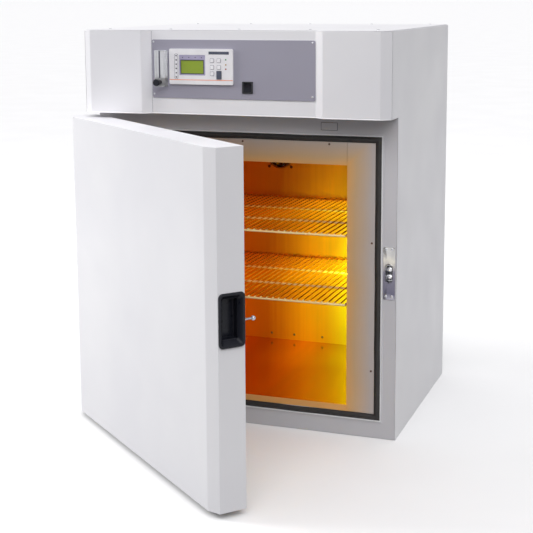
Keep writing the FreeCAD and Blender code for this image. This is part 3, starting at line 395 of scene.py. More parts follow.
def softened(node, finish, edge=0.0005, fold=0.0, segments=2):
    """A node's shape with rounded edges. Folds, whose faces turn less than sharp edges do, may be rounder."""
    bm = node_bmesh(node)
    bmesh.ops.dissolve_limit(bm, angle_limit=math.radians(FLAT_TURN), verts=bm.verts, edges=bm.edges)
    weight = bm.edges.layers.float.new("bevel_weight_edge")
    widest = max(edge, fold)
    for e in bm.edges:
        if len(e.link_faces) != 2:
            continue
        turn = math.degrees(e.calc_face_angle(0))
        if turn > SHARP_TURN:
            e[weight] = edge / widest
        elif turn > FOLD_TURN:
            e[weight] = (fold or edge) / widest
    mesh = bpy.data.meshes.new(node + "_finished")
    bm.to_mesh(mesh)
    bm.free()
    if "custom_normal" in mesh.attributes:
        mesh.attributes.remove(mesh.attributes["custom_normal"])
    smooth(mesh)
    obj = piece(mesh.name, mesh, finish, BODY_OF[node], [node])
    return bevel(obj, widest, segments, weighted=True)


def repaint(node, finish):
    """Gives a CAD node that stays as it is a better material."""
    mesh = NODES[node].data
    mesh.materials.clear()
    mesh.materials.append(finish)


def lathe_bmesh(bm, profile, centre, axis, steps=40):
    """Adds a turned form. The profile is (distance along the axis, radius) pairs."""
    turn = Z.rotation_difference(axis)
    rings = []
    for along, radius in profile:
        if radius < SAME_POINT:
            rings.append([bm.verts.new(centre + turn @ Vector((0, 0, along)))])
            continue
        ring = []
        for i in range(steps):
            a = 2 * math.pi * i / steps
            point = Vector((radius * math.cos(a), radius * math.sin(a), along))
            ring.append(bm.verts.new(centre + turn @ point))
        rings.append(ring)
    for low, high in zip(rings, rings[1:]):
        for i in range(steps):
            j = (i + 1) % steps
            quad = [low[i % len(low)], low[j % len(low)], high[j % len(high)], high[i % len(high)]]
            unique = list(dict.fromkeys(quad))
            if len(unique) > 2:
                bm.faces.new(unique)
    for ring in (rings[0], rings[-1]):
        if len(ring) > 2:
            bm.faces.new(ring)


def lathe(name, profile, centre, axis, finish, body, replaced=(), steps=40):
    """A turned piece."""
    bm = bmesh.new()
    lathe_bmesh(bm, profile, Vector(centre), Vector(axis), steps)
    return piece(name, to_mesh(name, bm), finish, body, replaced)


def rounded(points, radius, steps=5):
    """A closed outline with its corners rounded."""
    out = []
    count = len(points)
    for i in range(count):
        before, corner, after = (Vector(points[k % count]) for k in (i - 1, i, i + 1))
        into, away = (corner - before).normalized(), (after - corner).normalized()
        turn = into.angle(away)
        if turn < 0.01:
            out.append(corner)
            continue
        back = min(radius * math.tan(turn / 2), (corner - before).length / 2, (after - corner).length / 2)
        start, end = corner - into * back, corner + away * back
        for k in range(steps + 1):
            t = k / steps
            out.append((1 - t) ** 2 * start + 2 * t * (1 - t) * corner + t * t * end)
    return out


def corners(x0, x1, z0, z1, inset=0.0):
    """The corners of a rectangle, in the order in which outlines run."""
    x0, x1, z0, z1 = x0 + inset, x1 - inset, z0 + inset, z1 - inset
    return [(x0, z0), (x1, z0), (x1, z1), (x0, z1)]


def outline(bm, points, y):
    """Adds the points (x, z) of an outline at a depth."""
    return [bm.verts.new((x, y, z)) for x, z in points]


def skin(bm, rows, closed=False):
    """Joins rings of points with faces. A closed skin joins the last ring to the first."""
    for a, b in zip(rows, rows[1:] + rows[:1] if closed else rows[1:]):
        for i in range(len(a)):
            j = (i + 1) % len(a)
            bm.faces.new([a[i], a[j], b[j], b[i]])


def slab_bmesh(bm, x0, x1, y0, y1, z0, z1, radius):
    """Adds a plate that faces along Y, with rounded corners."""
    loop = rounded(corners(x0, x1, z0, z1), radius)
    front, back = outline(bm, loop, y0), outline(bm, loop, y1)
    bm.faces.new(front)
    bm.faces.new(back[::-1])
    skin(bm, [back, front])


def slab(name, box, radius, finish, edge=0.0001):
    """A small plate fixed to the cabinet."""
    bm = bmesh.new()
    slab_bmesh(bm, *box, radius)
    return bevel(piece(name, to_mesh(name, bm), finish, "cabinet"), edge, 2, 50)


def spread_out(low, high, gap):
    """The rectangle (x0, x1, z0, z1) that clears a box by a gap."""
    return low.x - gap, high.x + gap, low.z - gap, high.z + gap


def outline_ring_bmesh(bm, bounds, y, height, width, radius):
    """Adds a thin raised line just inside the bounds (x0, x1, z0, z1), on a face at y."""
    outer = rounded(corners(*bounds), radius)
    inner = rounded(corners(*bounds, inset=width), max(radius - width, width / 4))
    loops = [(outer, y), (outer, y - height), (inner, y - height), (inner, y)]
    skin(bm, [outline(bm, loop, depth) for loop, depth in loops], closed=True)


# ---------------------------------------------------------------- screws


def islands(node):
    """The vertex positions of each loose part of a node."""
    bm = node_bmesh(node)
    bm.verts.ensure_lookup_table()
    seen, groups = set(), []
    for start in bm.verts:
        if start.index in seen:
            continue
        group, stack = [], [start]
        seen.add(start.index)
        while stack:
            vert = stack.pop()
            group.append(vert.co.copy())
            for edge in vert.link_edges:
                other = edge.other_vert(vert)
                if other.index not in seen:
                    seen.add(other.index)
                    stack.append(other)
        groups.append(group)
    bm.free()
    return groups


def head_frame(points, ways):
    """Base centre, axis, radius and height of a domed head, whose axis is one of ways."""
    best = None
    for way in ways:
        heights = [p.dot(way) for p in points]
        spread = max(heights) - min(heights)
        if best is None or spread < best[0] - SAME_POINT:
            best = (spread, way, min(heights), max(heights))
    height, axis, low, high = best
    rim_low = [p for p in points if p.dot(axis) < low + ON_RIM]
    rim_high = [p for p in points if p.dot(axis) > high - ON_RIM]

    def size(rim):
        middle = sum(rim, Vector()) / len(rim)
        return max((p - middle).length for p in rim), middle

    radius_low, middle_low = size(rim_low)
    radius_high, middle_high = size(rim_high)
    if radius_high > radius_low:
        return middle_high, -axis, radius_high, height
    return middle_low, axis, radius_low, height


def screw_heads(node, ways, kinds):
    """Domed heads with a cross recess, where the CAD node has plain ones. A kind is (name, finish, test)."""
    meshes = [bmesh.new() for _ in kinds]
    for points in islands(node):
        base, axis, radius, height = head_frame(points, ways)
        chosen = next(bm for bm, (_, _, fits) in zip(meshes, kinds) if fits(base))
        cross_bmesh(chosen, base, axis, radius, height, random.uniform(0, math.pi))
    for bm, (name, finish, _), replaced in zip(meshes, kinds, [[node]] + [[]] * len(kinds)):
        piece(name, to_mesh(name, bm, 40), finish, BODY_OF[node], replaced)


def cross_bmesh(bm, base, axis, radius, height, angle):
    """Adds one head. Its top is a grid of points that dips in a cross."""
    turn = Z.rotation_difference(axis) @ Matrix.Rotation(angle, 3, "Z").to_quaternion()
    rings, steps = 7, 32
    arm, reach, depth = 0.17 * radius, 0.58 * radius, 0.5 * height
    levels = []
    for k in range(rings):
        r = radius * (1 - k / rings)
        dome = height * (0.35 + 0.65 * math.sqrt(max(0.0, 1 - (r / radius) ** 2)))
        ring = []
        for i in range(steps):
            a = 2 * math.pi * i / steps
            x, y = r * math.cos(a), r * math.sin(a)
            inside = (abs(x) < arm and abs(y) < reach) or (abs(y) < arm and abs(x) < reach)
            ring.append(bm.verts.new(base + turn @ Vector((x, y, dome - (depth if inside else 0)))))
        levels.append(ring)
    foot = [bm.verts.new(base + turn @ Vector((radius * math.cos(a), radius * math.sin(a), 0)))
            for a in (2 * math.pi * i / steps for i in range(steps))]
    tip = bm.verts.new(base + turn @ Vector((0, 0, height - depth)))
    skin(bm, [foot] + levels)
    for i in range(steps):
        bm.faces.new([levels[-1][i], levels[-1][(i + 1) % steps], tip])
    bm.faces.new(foot[::-1])


# ---------------------------------------------------------------- cabinet


def casing():
    """Painted sheet round the cabinet, and the bare steel round the opening."""
    softened("left_side_panel", WHITE_PAINT, 0.0006)
    softened("right_side_panel", WHITE_PAINT, 0.0006)
    softened("top_cover", WHITE_PAINT, 0.0006, fold=0.002)
    softened("console_front", WHITE_PAINT, 0.0005, fold=0.0025, segments=4)
    softened("rear_cover", WHITE_PAINT, 0.0004)
    softened("front_frame", FRAME_PAINT_SHADED, 0.0004)
    softened("door_switch_cover", FRAME_PAINT_SHADED, 0.0005)
    softened("breaker_strips", STRIP_STEEL, 0.0004)
    repaint("console_floor", UNDERSIDE_PAINTED_SHADE)
    repaint("base_pan", WHITE_PAINT)
    repaint("cabinet_insulation", WOOL)
    switch_cover_line()
    console_trim()


def switch_cover_line():
    """The dark gap round the door switch's cover."""
    low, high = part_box("door_switch_cover")
    bm = bmesh.new()
    outline_ring_bmesh(bm, spread_out(low, high, 0.0011), high.y, 0.0004, 0.0011, 0.0015)
    piece("switch_cover_line", to_mesh("switch_cover_line", bm), DARK_MARK, "cabinet")


def console_band(name, section, z, tails):
    """A strip along the console's outline, with or without tails that run on along the sides.

    The section is (distance inwards, height over z).
    """
    low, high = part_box("console_front")
    line = [(high.x - 0.0008, low.y + 0.0205), (high.x - 0.0245, low.y), (CONSOLE_FACE_END, low.y),
            (CONSOLE_RECESS_END, low.y + CONSOLE_RECESS_DEPTH)]
    line += [(-x, y) for x, y in line[::-1]]
    if tails:
        tail_y = 0.31
        line = [(line[0][0], tail_y), *line, (line[-1][0], tail_y)]
    bm = bmesh.new()
    rows = []
    for i, (x, y) in enumerate(line):
        point = Vector((x, y))
        into = (point - Vector(line[i - 1])).normalized() if i else None
        away = (Vector(line[i + 1]) - point).normalized() if i + 1 < len(line) else None
        along = ((into or away) + (away or into)).normalized()
        outward = Vector((-along[1], along[0])) / along.dot(into or away)
        rows.append([bm.verts.new((x - outward[0] * a, y - outward[1] * a, z + h)) for a, h in section])
    skin(bm, rows)
    bm.faces.new(rows[0][::-1])
    bm.faces.new(rows[-1])
    piece(name, to_mesh(name, bm, 60), KEY_WHITE, "cabinet")


def console_trim():
    """Bright rolled edge along the console's foot, seal under the top cover, and painted shade lines where the
    recess meets the chamfers.
    """
    low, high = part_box("console_front")
    hem = [(0.0, 0.0002), (-0.0006, 0.0006), (-0.0008, 0.0016), (-0.0006, 0.0026), (0.0, 0.0030),
           (0.0003, 0.0016)]
    console_band("console_hem", hem, low.z, False)
    seal = [(0.0036, -0.0002), (0.0036, 0.0010), (0.0060, 0.0010), (0.0060, -0.0002)]
    console_band("top_cover_seal", seal, high.z, True)
    # Painted shade: thin grey lines stand for the shade in the folds where the recess meets the chamfers.
    y = low.y + CONSOLE_RECESS_DEPTH
    shade_line_x, half = CONSOLE_RECESS_END - 0.0002, 0.0004
    for side, x in (("left", -shade_line_x), ("right", shade_line_x)):
        box = (x - half, x + half, y - 0.0003, y + 0.0002, low.z + 0.004, high.z - 0.001)
        slab(f"recess_shade_line_{side}", box, 0.0001, MARK_AND_SHADE_GREY, 0.00005)


def chamber():
    """The stainless liner, and what is in it."""
    for node in ("liner_left", "liner_right", "liner_back", "liner_top"):
        repaint(node, LINER_STEEL)
    softened("liner_floor", FLOOR_STEEL, 0.0005)
    softened("shelf_runners", LINER_STEEL, 0.0004)
    # The probe takes the rods' painted lamplight too.
    repaint("temperature_probe", ROD_PAINTED_LAMPLIGHT)
    repaint("fan_guard", FAN_PAINTED_AMBER)
    repaint("floor_heater", DOOR_STEEL)
    softened("fan_housing", FAN_PAINTED_AMBER, 0.0005)
    softened("fan_impeller", FAN_PAINTED_AMBER, 0.0002)
    for level in ("upper_shelf", "lower_shelf"):
        shelf(level)
    lamp()


def tube_bmesh(bm, start, end, radius, steps=12):
    """Adds a wire with rounded ends."""
    axis = (end - start).normalized()
    length = (end - start).length
    cap = [(radius * (1 - math.cos(a)), radius * math.sin(a)) for a in (0.0, 0.5, 1.0, math.pi / 2)]
    profile = cap + [(length - along, r) for along, r in cap[::-1]]
    lathe_bmesh(bm, profile, start, axis, steps)


def shelf(node):
    """Welded wire shelf: a rod frame, two cross rods, and wires across them. Amber lamplight is painted in: a
    painted highlight on the rod frame, the cross rods and the wires' front ends, and painted shade on the rear rod
    and the wires behind.
    """
    low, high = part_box(node)
    rod_z, wire_z = low.z + ROD_RADIUS, high.z - WIRE_RADIUS
    front, back = low.y + ROD_RADIUS, high.y - ROD_RADIUS
    rods, wires = bmesh.new(), bmesh.new()
    for third in range(4):
        y = front + third * (back - front) / 3
        # The rear rod goes with the wires into the darker material: painted shade at the back of the shelf.
        kind = wires if third == 3 else rods
        tube_bmesh(kind, Vector((low.x, y, rod_z)), Vector((high.x, y, rod_z)), ROD_RADIUS, 18)
    for x in (low.x + 0.004, high.x - 0.004):
        tube_bmesh(rods, Vector((x, front, rod_z)), Vector((x, back, rod_z)), SIDE_ROD_RADIUS, 14)
    count, margin = 32, 0.0151
    pitch = (high.x - low.x - 2 * margin) / (count - 1)
    split = low.y + 0.010
    for i in range(count):
        x = low.x + margin + i * pitch + random.uniform(-0.0003, 0.0003)
        z = wire_z + random.uniform(-0.0001, 0)
        tube_bmesh(wires, Vector((x, split - 0.002, z)), Vector((x, high.y, wire_z)), WIRE_RADIUS)
        tube_bmesh(rods, Vector((x, low.y - 0.0006, z)), Vector((x, split, z)), WIRE_RADIUS * 1.12)
    body, slot = BODY_OF[node], SLOT_OF[node]
    piece(node + "_rods", to_mesh(node + "_rods", rods, 50), ROD_PAINTED_LAMPLIGHT, body, [node])
    piece(node + "_wires", to_mesh(node + "_wires", wires, 50), WIRE_PAINTED_SHADE, body)


def lamp():
    """Bulkhead lamp: a plated base ring, and a ribbed glass dome."""
    low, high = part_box("interior_lamp")
    centre = Vector((high.x, (low.y + high.y) / 2, (low.z + high.z) / 2))
    radius, depth = (high.y - low.y) / 2, high.x - low.x
    base = [(0, radius), (0.35 * depth, radius), (0.42 * depth, 0.96 * radius), (0.42 * depth, 0.84 * radius)]
    lathe("lamp_base_ring", base, centre, -X, CHROME, "cabinet", steps=64)
    dome = [(0.2 * depth, 0.83 * radius)]
    for k in range(13):
        a = math.pi / 2 * k / 12
        ripple = 1 + 0.012 * math.cos(k * math.pi)
        dome.append((0.3 * depth + 0.68 * depth * math.sin(a), 0.83 * radius * math.cos(a) * ripple))
    dome[-1] = (dome[-1][0], 0)
    lathe("lamp_dome", dome, centre, -X, LAMP_GLASS, "cabinet", ["interior_lamp"], 64)


def sweep(bm, path, section, y):
    """Adds a closed band with mitred corners. The section is (distance outwards, height off y)."""
    rows = []
    count = len(path)
    for i, point in enumerate(path):
        into = (point - path[i - 1]).normalized()
        away = (path[(i + 1) % count] - point).normalized()
        along = (into + away).normalized()
        outward = Vector((along[1], -along[0])) / along.dot(into)
        places = [(point + outward * a, y - h) for a, h in section]
        rows.append([bm.verts.new((place[0], depth, place[1])) for place, depth in places])
    skin(bm, rows, closed=True)


def rectangle(low_x, low_z, high_x, high_z, steps=1, wander=0.0):
    """Points round a rectangle; between the corners they may wander a little, like hand-fitted rubber."""
    turns = [Vector(c) for c in corners(low_x, high_x, low_z, high_z)]
    points = []
    for corner, following in zip(turns, turns[1:] + turns[:1]):
        along = (following - corner).normalized()
        across = Vector((along[1], -along[0]))
        phase = random.uniform(0, 6)
        for k in range(steps):
            t = k / steps
            waves = math.sin(17 * t + phase) + 0.5 * math.sin(41 * t + 2 * phase)
            points.append(corner.lerp(following, t) + across * wander * math.sin(math.pi * t) * waves)
    return points


def gasket():
    """Bulb seal with mitred corners, the white strip that holds its edge, and a dark line round that."""
    low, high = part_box("door_gasket")
    half = 0.008
    depth = high.y - low.y
    path = rectangle(low.x + half, low.z + half, high.x - half, high.z - half, 36, 0.0007)
    flange = [(half, 0), (half, 0.30 * depth), (half - 0.0010, 0.44 * depth), (half - 0.0024, 0.46 * depth)]
    section = [(-a, h) for a, h in flange]
    for k in range(9):
        a = math.pi * k / 8
        section.append((-0.0050 * math.cos(a), (0.48 + 0.50 * math.sin(a)) * depth))
    section += flange[::-1]
    bm = bmesh.new()
    sweep(bm, path, section, high.y)
    piece("gasket_bulb", to_mesh("gasket_bulb", bm, 60), RUBBER, "cabinet", ["door_gasket"])
    bm = bmesh.new()
    edge = rectangle(low.x, low.z, high.x, high.z)
    strip = [(0.0006, 0.0), (0.0006, 0.0016), (0.0012, 0.0021), (0.0030, 0.0021), (0.0036, 0.0016),
             (0.0036, 0.0)]
    sweep(bm, edge, strip, high.y)
    piece("gasket_retainer", to_mesh("gasket_retainer", bm, 30), SCALE_WHITE, "cabinet")
    bm = bmesh.new()
    sweep(bm, edge, [(0.0040, 0.0), (0.0040, 0.0004), (0.0054, 0.0004), (0.0054, 0.0)], high.y)
    piece("gasket_seam", to_mesh("gasket_seam", bm, 30), RUBBER, "cabinet")


def hardware():
    """Screws, catch, hinges, and the two connections on the back."""
    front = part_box("front_frame")[0].y

    def in_opening(base):
        return front - 0.02 < base.y < 0.3 and base.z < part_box("console_floor")[0].z and base.x < 0.39

    def anywhere(base):
        return True

    kinds = [("chamber_screw_heads", DARK_SCREW, in_opening), ("cabinet_screw_heads", ZINC, anywhere)]
    screw_heads("cabinet_screws", [X, Y, Z], kinds)
    turned = door_turn()
    screw_heads("door_screws", [turned @ X, turned @ Y], [("door_screw_heads", ZINC, anywhere)])
    keeper()
    for way in ("upper", "lower"):
        softened(way + "_roller_carriage", CHROME, 0.0003)
        roller(way)
        repaint(way + "_roller_spring", ZINC)
    softened("cabinet_hinge_leaves", ZINC, 0.0004)
    softened("door_hinge_leaves", ZINC, 0.0004)
    repaint("hinge_pins", ZINC)
    softened("gas_line", BRASS, 0.0003)
    softened("mains_inlet", BLACK, 0.0005)
    inlet_blades()


def around(half_width, half_height, radius, steps=96):
    """Points of a rounded rectangle at even angles round its centre."""
    points = []
    for i in range(steps):
        a = 2 * math.pi * (i + 0.5) / steps
        dx, dz = math.cos(a), math.sin(a)
        low, high = 0.0, half_width + half_height
        for _ in range(40):
            reach = (low + high) / 2
            x, z = abs(dx) * reach, abs(dz) * reach
            over = Vector((max(0, x - half_width + radius), max(0, z - half_height + radius)))
            if x < half_width and z < half_height and over.length < radius:
                low = reach
            else:
                high = reach
        points.append((dx * low, dz * low))
    return points


def rings_bmesh(bm, centre, rings, closed):
    """Joins outlines (points round a centre, y) into a skin, and gives back its rows."""
    rows = [outline(bm, [(centre.x + x, centre.z + z) for x, z in points], y) for points, y in rings]
    skin(bm, rows, closed)
    return rows


def keeper():
    """Slotted plate with a rolled rim round its slot, and the box behind it in which the rollers slide."""
    low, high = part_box("keeper")
    front = low.y + 0.0016
    centre = (low + high) / 2
    wide, tall = (high.x - low.x) / 2, (high.z - low.z) / 2
    slot_w, slot_h = 0.0096, 0.025

    def slot(out):
        return around(slot_w + out, slot_h + out, slot_w + out - SAME_POINT)

    def plate(inset):
        return around(wide - inset, tall - inset, 0.0022 - inset * 0.5)

    bm = bmesh.new()
    y = low.y
    back = front - 0.0001
    rings = [(plate(0), back), (plate(0), y + 0.0004), (plate(0.0005), y), (slot(0.0024), y),
             (slot(0.0018), y - 0.0006), (slot(0.0006), y - 0.0007), (slot(0), y - 0.0001), (slot(0), back)]
    rings_bmesh(bm, centre, rings, True)
    mesh = to_mesh("keeper_plate", bm, 25, wound=True)
    piece("keeper_plate", mesh, KEEPER_CHROME, "cabinet", ["keeper"])
    bm = bmesh.new()

    def wall(inset):
        return around(0.0118 - inset, 0.0355 - inset, 0.001)

    thick = 0.0012
    rings = [(wall(thick), high.y - 0.0015), (wall(thick), front), (wall(0), front), (wall(0), high.y)]
    rows = rings_bmesh(bm, centre, rings, False)
    bm.faces.new(rows[0][::-1])
    bm.faces.new(rows[-1])
    piece("keeper_box", to_mesh("keeper_box", bm, 40, wound=True), ZINC, "cabinet")


def door_turn():
    """Rotation of the door from closed to its rest pose."""
    joint = JOINTS["door_swing"]
    return Matrix.Rotation(math.radians(joint["range_deg"][0]), 3, "Z")


def roller(way):
    """Barrel-shaped catch roller with a bore."""
    low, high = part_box(way + "_roller")
    centre = Vector((low.x, (low.y + high.y) / 2, (low.z + high.z) / 2))
    length, radius = high.x - low.x, (high.z - low.z) / 2
    bore, end, shoulder = 0.0016, 0.0058, 0.0062
    profile = [(0, bore), (0, end), (0.0003, shoulder)]
    for k in range(1, 12):
        t = k / 12
        profile.append((t * length, shoulder + (radius - shoulder) * math.sin(math.pi * t) ** 0.8))
    profile += [(length - 0.0003, shoulder), (length, end), (length, bore)]
    node = way + "_roller"
    lathe(way + "_barrel", profile, centre, X, CHROME, BODY_OF[node], [node], 48)


def inlet_blades():
    """Metal sleeves over the three blades in the appliance inlet."""
    low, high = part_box("mains_inlet")
    centre = (low + high) / 2
    bm = bmesh.new()
    for dx, dz in ((-0.007, 0), (0, 0.0035), (0.007, 0)):
        x, z = centre.x + dx, centre.z + dz
        inner, tip = high.y - 0.0185, high.y - 0.0058
        slab_bmesh(bm, x - 0.0011, x + 0.0011, inner, tip, z - 0.0021, z + 0.0021, 0.0004)
    bevel(piece("inlet_blades", to_mesh("inlet_blades", bm), ZINC, "cabinet"), 0.0002, 2, 50)


# ---------------------------------------------------------------- controls


def controls():
    """The control panel and all that is on it."""
    softened("control_panel", PANEL_GREY, 0.0003)
    softened("controller_bezel", BEZEL_WHITE, 0.0004)
    for number in range(1, 6):
        softened(f"key_{number}", KEY_WHITE, 0.0004, segments=3)
    softened("key_6", KEY_SLATE, 0.0005, segments=3)
    softened("lcd_display", LCD_GREEN, 0.0002)
    softened("power_switch_bezel", BLACK, 0.0005)
    softened("power_rocker", HANDLE_BLACK, 0.0006, 0.0006, 3)
    bezel_print()
    status_lights()
    flowmeter()


def bezel_print():
    """Coloured line, plain strip, icon strip and key outlines on the controller's face."""
    low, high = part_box("controller_bezel")
    width, height, face = high.x - low.x, high.z - low.z, low.y
    proud = 0.00018

    def across(share):
        return low.x + share * width

    def up(share):
        return low.z + share * height

    sunk, print_edge = face + PRINT_DEPTH, 0.00003
    line = (low.x + 0.0006, high.x - 0.0006, face - proud, sunk, up(0.122), up(0.138))
    slab("bezel_orange_line", line, 0.0001, ORANGE, print_edge)
    strip = (across(0.625), across(0.94), face - proud, sunk, up(0.85), up(0.93))
    slab("bezel_dark_strip", strip, 0.0003, KEY_SLATE, print_edge)
    bm = bmesh.new()
    border = 0.0009
    for number in range(1, 6):
        a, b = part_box(f"key_{number}")
        outline_ring_bmesh(bm, spread_out(a, b, border), sunk, 0.0004, border, 0.002)
    icon_strip = (across(0.085), across(0.142), up(0.15), up(0.86))
    outline_ring_bmesh(bm, icon_strip, sunk, 0.0003, 0.0008, 0.004)
    piece("key_outlines", to_mesh("key_outlines", bm), MARK_AND_SHADE_GREY, "cabinet")
    bm = bmesh.new()
    x = across(0.1135)
    for i in range(6):
        z = up(0.205 + 0.12 * i)
        half = 0.0019 if i % 2 else 0.0022
        slab_bmesh(bm, x - half, x + half, face - proud, sunk, z - 0.0017, z + 0.0017, 0.0009)
        slab_bmesh(bm, x - half / 2, x + half / 2, face - proud * 2, face, z - 0.0008, z + 0.0008, 0.0004)
    piece("icon_marks", to_mesh("icon_marks", bm), DARK_MARK, "cabinet")
    display_surround()


def display_surround():
    """Lilac mask in the bezel's recess round the display, with a dark rim and four marks over it."""
    low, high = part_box("lcd_display")
    mask_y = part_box("controller_bezel")[0].y + 0.0008
    bm = bmesh.new()
    radius = 0.0012
    outer = rounded(corners(low.x - 0.0038, high.x + 0.0038, low.z - 0.0036, high.z + 0.0126), radius)
    inner = rounded(corners(low.x, high.x, low.z, high.z), radius)
    front_y = mask_y - 0.0003
    loops = [(outer, mask_y), (outer, front_y), (inner, front_y), (inner, mask_y + 0.0008)]
    skin(bm, [outline(bm, loop, y) for loop, y in loops])
    piece("display_surround", to_mesh("display_surround", bm), LILAC, "cabinet")
    bm = bmesh.new()
    outline_ring_bmesh(bm, spread_out(low, high, 0.0004), mask_y, 0.0006, 0.0018, radius)
    for i in range(4):
        x = low.x + (0.09 + 0.272 * i) * (high.x - low.x)
        z = high.z + 0.0064
        slab_bmesh(bm, x - 0.0013, x + 0.0013, mask_y - 0.0005, mask_y, z - 0.0012, z + 0.0012, 0.0006)
    piece("display_rim", to_mesh("display_rim", bm), DARK_MARK, "cabinet")


def extent(points):
    """The lowest and highest corner of some points."""
    columns = list(zip(*points))
    return Vector([min(column) for column in columns]), Vector([max(column) for column in columns])


def status_lights():
    """Three small lenses beside the keys, and the closed box behind them."""
    parts = sorted((extent(points) for points in islands("controller_housing")), key=lambda box: -box[0].z)
    lenses = [(low, high) for low, high in parts if high.x - low.x < 0.01]
    tints = [((0.02, 0.30, 0.05), (0.04, 0.42, 0.09)), ((0.55, 0.30, 0.02), (0.7, 0.4, 0.04)),
             ((0.5, 0.03, 0.02), (0.62, 0.06, 0.04))]
    for number, ((low, high), tint) in enumerate(zip(lenses, tints), 1):
        centre = Vector(((low.x + high.x) / 2, high.y, (low.z + high.z) / 2))
        radius, length = (high.x - low.x) / 2, high.y - low.y
        profile = [(0, radius), (length - radius, radius)]
        for k in range(1, 9):
            a = math.pi / 2 * k / 8
            profile.append((length - radius + radius * math.sin(a), radius * math.cos(a) if k < 8 else 0))
        lathe(f"status_lens_{number}", profile, centre, -Y, lens(f"status_{number}", *tint), "cabinet",
              steps=24)
    low, high = max(parts, key=lambda box: box[1].x - box[0].x)
    bm = bmesh.new()
    slab_bmesh(bm, low.x, high.x, low.y, high.y, low.z, high.z, 0.003)
    box = piece("controller_box", to_mesh("controller_box", bm), HOUSING, "cabinet",
                ["controller_housing"])
    bevel(box, 0.001, 2, 50)


def flowmeter():
    """Clear block with a dark line on its front, white scale plate with ticks, float and knob."""
    softened("flowmeter_body", ACRYLIC, 0.0006, segments=3)
    low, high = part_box("flowmeter_body")
    middle = (low.x + high.x) / 2
    back = high.y - 0.0012
    foot = low.z + 0.024
    plate = (low.x + 0.0012, high.x - 0.0012, back, back + 0.0006, foot, high.z - 0.002)
    slab("meter_scale_plate", plate, 0.001, SCALE_WHITE)
    bm = bmesh.new()
    half, y = 0.0021, low.y
    slab_bmesh(bm, middle - half, middle + half, y - 0.0002, y + PRINT_DEPTH, foot, high.z - 0.001, 0.0004)
    ticks_x = middle + 0.0042
    for i in range(13):
        z = low.z + 0.030 + i * 0.005
        reach = 0.0052 if i % 3 == 0 else 0.0034
        slab_bmesh(bm, ticks_x, ticks_x + reach, back - 0.0003, back, z - 0.0003, z + 0.0003, 0.0001)
    piece("meter_scale_ticks", to_mesh("meter_scale_ticks", bm), DARK_MARK, "cabinet")
    a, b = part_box("flowmeter_float")
    centre, radius = (a + b) / 2, (b.x - a.x) / 2
    profile = []
    for k in range(17):
        angle = math.pi * k / 16
        bulge = 1.0 if k < 9 else 0.94
        profile.append((-radius * math.cos(angle), radius * math.sin(angle) * bulge))
    profile[0], profile[-1] = (-radius, 0), (radius, 0)
    lathe("meter_float_ball", profile, centre, Z, BLACK, BODY_OF["flowmeter_float"],
          ["flowmeter_float"], 32)
    softened("flowmeter_knob", HANDLE_BLACK, 0.0004, 0.0004, 2)


# ---------------------------------------------------------------- door


def door():
    """Painted shell, brushed inner panel, pull and stud."""
    softened("door_outer_shell", WHITE_PAINT, 0.0006, fold=0.002, segments=4)
    softened("door_inner_panel", DOOR_STEEL, 0.0005)
    repaint("door_insulation", WOOL)
    softened("door_handle", HANDLE_BLACK, 0.0017, 0.0017, 4)
    stud()


def stud():
    """Turned catch stud: a washer, a cone, a waisted neck and a ball."""
    turn = door_turn()
    points = islands("ball_stud")[0]
    axis = turn @ Y
    heights = [p.dot(axis) for p in points]
    low, high = min(heights), max(heights)
    base = [p for p in points if p.dot(axis) < low + ON_RIM]
    centre = sum(base, Vector()) / len(base)
    middle = Vector((0, 0, centre.z))
    middle += sum((p - Z * p.z for p in base), Vector()) / len(base)
    length = high - low
    ball, neck = 0.006, 0.0022
    profile = [(0, 0.0075), (0.0014, 0.0075), (0.002, 0.0069), (0.013, 0.0027), (0.0145, neck),
               (length - 2 * ball + 0.0007, neck)]
    for k in range(3, 17):
        a = math.pi * k / 16
        profile.append((length - ball - ball * math.cos(a), ball * math.sin(a)))
    profile[-1] = (length, 0)
    lathe("catch_stud", profile, middle, axis, STUD_STEEL, "door", ["ball_stud"], 40)


# ---------------------------------------------------------------- stage


def studio():
    """Pale floor, even sky and soft lights. Light that the floor scatters doesn't reach the object."""
    scene = bpy.context.scene
    scene.view_settings.view_transform = "Standard"
    scene.world = sky()
    mesh = bpy.data.meshes.new("floor")
    half = 1500
    mesh.from_pydata([(x, y, 0) for x, y in corners(-half, half, -half, half)], [], [(0, 1, 2, 3)])
    floor = bpy.data.objects.new("floor", mesh)
    scene.collection.objects.link(floor)
    finish = Finish("pale_floor").colour((0.90, 0.90, 0.905), (0.92, 0.92, 0.925), 2.0).gloss(0.8, 0.9, 3)
    mesh.materials.append(finish.set(Specular_IOR_Level=0.1).material)
    floor.visible_diffuse = False
    studio_lights()
    chamber_light()


def sky():
    """Even white studio above the floor, and a dim one below, so that undersides stay in shade."""
    world = bpy.data.worlds.new("studio")
    world.use_nodes = True
    tree = world.node_tree
    coords = tree.nodes.new("ShaderNodeTexCoord")
    split = tree.nodes.new("ShaderNodeSeparateXYZ")
    shift = tree.nodes.new("ShaderNodeMapRange")
    shift.inputs["From Min"].default_value = -1
    ramp = tree.nodes.new("ShaderNodeValToRGB")
    levels = [(0.0, 0.06), (0.49, 0.06), (0.5, 0.70), (0.587, 0.45), (0.65, 0.38), (0.75, 0.92), (1.0, 0.88)]
    fill_ramp(ramp, [(place, (level * 0.99, level * 0.99, level)) for place, level in levels])
    tree.links.new(coords.outputs["Generated"], split.inputs["Vector"])
    tree.links.new(split.outputs["Z"], shift.inputs["Value"])
    tree.links.new(shift.outputs["Result"], ramp.inputs["Fac"])
    tree.links.new(ramp.outputs["Color"], tree.nodes["Background"].inputs["Color"])
    return world


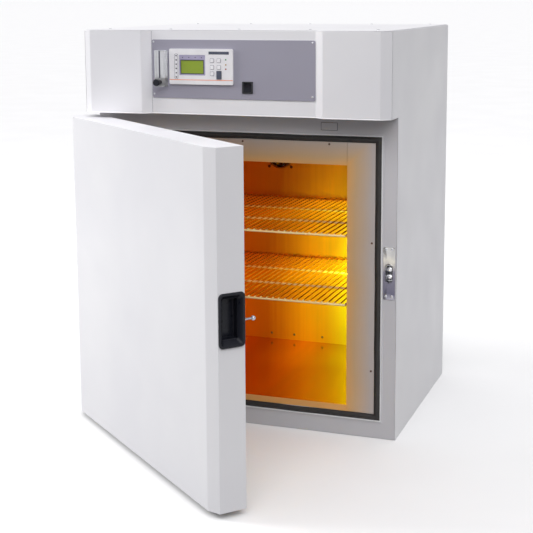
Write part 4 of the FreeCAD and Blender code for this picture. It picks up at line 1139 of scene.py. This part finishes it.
def light(name, kind, power, beam, place=(0, 0, 0)):
    """A light that shines against the beam's direction."""
    data = bpy.data.lights.new(name, kind)
    data.energy = power
    obj = bpy.data.objects.new(name, data)
    obj.location = place
    obj.rotation_euler = Vector(beam).to_track_quat("Z", "Y").to_euler()
    bpy.context.scene.collection.objects.link(obj)
    return data


def studio_lights():
    """A broad light from the left, and a very soft one that fills in from the front right."""
    place, target = Vector((-4.1, -1.25, 2.4)), Vector((-0.2, -0.5, 0.6))
    light("key", "AREA", 125, place - target, place).size = 1.8
    fill = light("fill", "SUN", 1.25, (0.38, -0.66, 0.72))
    fill.angle = math.radians(60)
    fill.color = (1, 0.99, 1)


def chamber_light():
    """Amber light from the lamp on the right wall."""
    low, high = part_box("interior_lamp")
    place = (low.x - 0.012, (low.y + high.y) / 2 + 0.03, (low.z + high.z) / 2 + 0.09)
    amber = light("chamber_lamp", "AREA", 4.7, (0.55, -0.83, 0), place)
    amber.shape = "RECTANGLE"
    amber.size, amber.size_y = 0.10, 0.34
    amber.spread = math.radians(160)
    amber.color = (0.80, 1.0, 0.06)


def camera():
    """Long lens at standing height, with a little shift. Yaw, pitch and roll start from level along Y."""
    data = bpy.data.cameras.new("camera")
    data.sensor_width = 36.0
    data.lens = 81.9
    data.shift_y = -0.15
    data.clip_end = 5000
    eye = Vector((1.178, -3.392, 1.194))
    yaw, pitch, roll = 0.3461, -0.1555, -0.0059
    ahead = Vector((-math.sin(yaw) * math.cos(pitch), math.cos(yaw) * math.cos(pitch), math.sin(pitch)))
    right = Vector((math.cos(yaw), math.sin(yaw), 0))
    up = right.cross(ahead)
    tilted_right = math.cos(roll) * right + math.sin(roll) * up
    tilted_up = math.cos(roll) * up - math.sin(roll) * right
    turn = Matrix((tilted_right, tilted_up, -ahead)).transposed()
    obj = bpy.data.objects.new("camera", data)
    obj.matrix_world = Matrix.Translation(eye) @ turn.to_4x4()
    bpy.context.scene.collection.objects.link(obj)
    bpy.context.scene.camera = obj


camera()
casing()
chamber()
gasket()
hardware()
controls()
door()
studio()
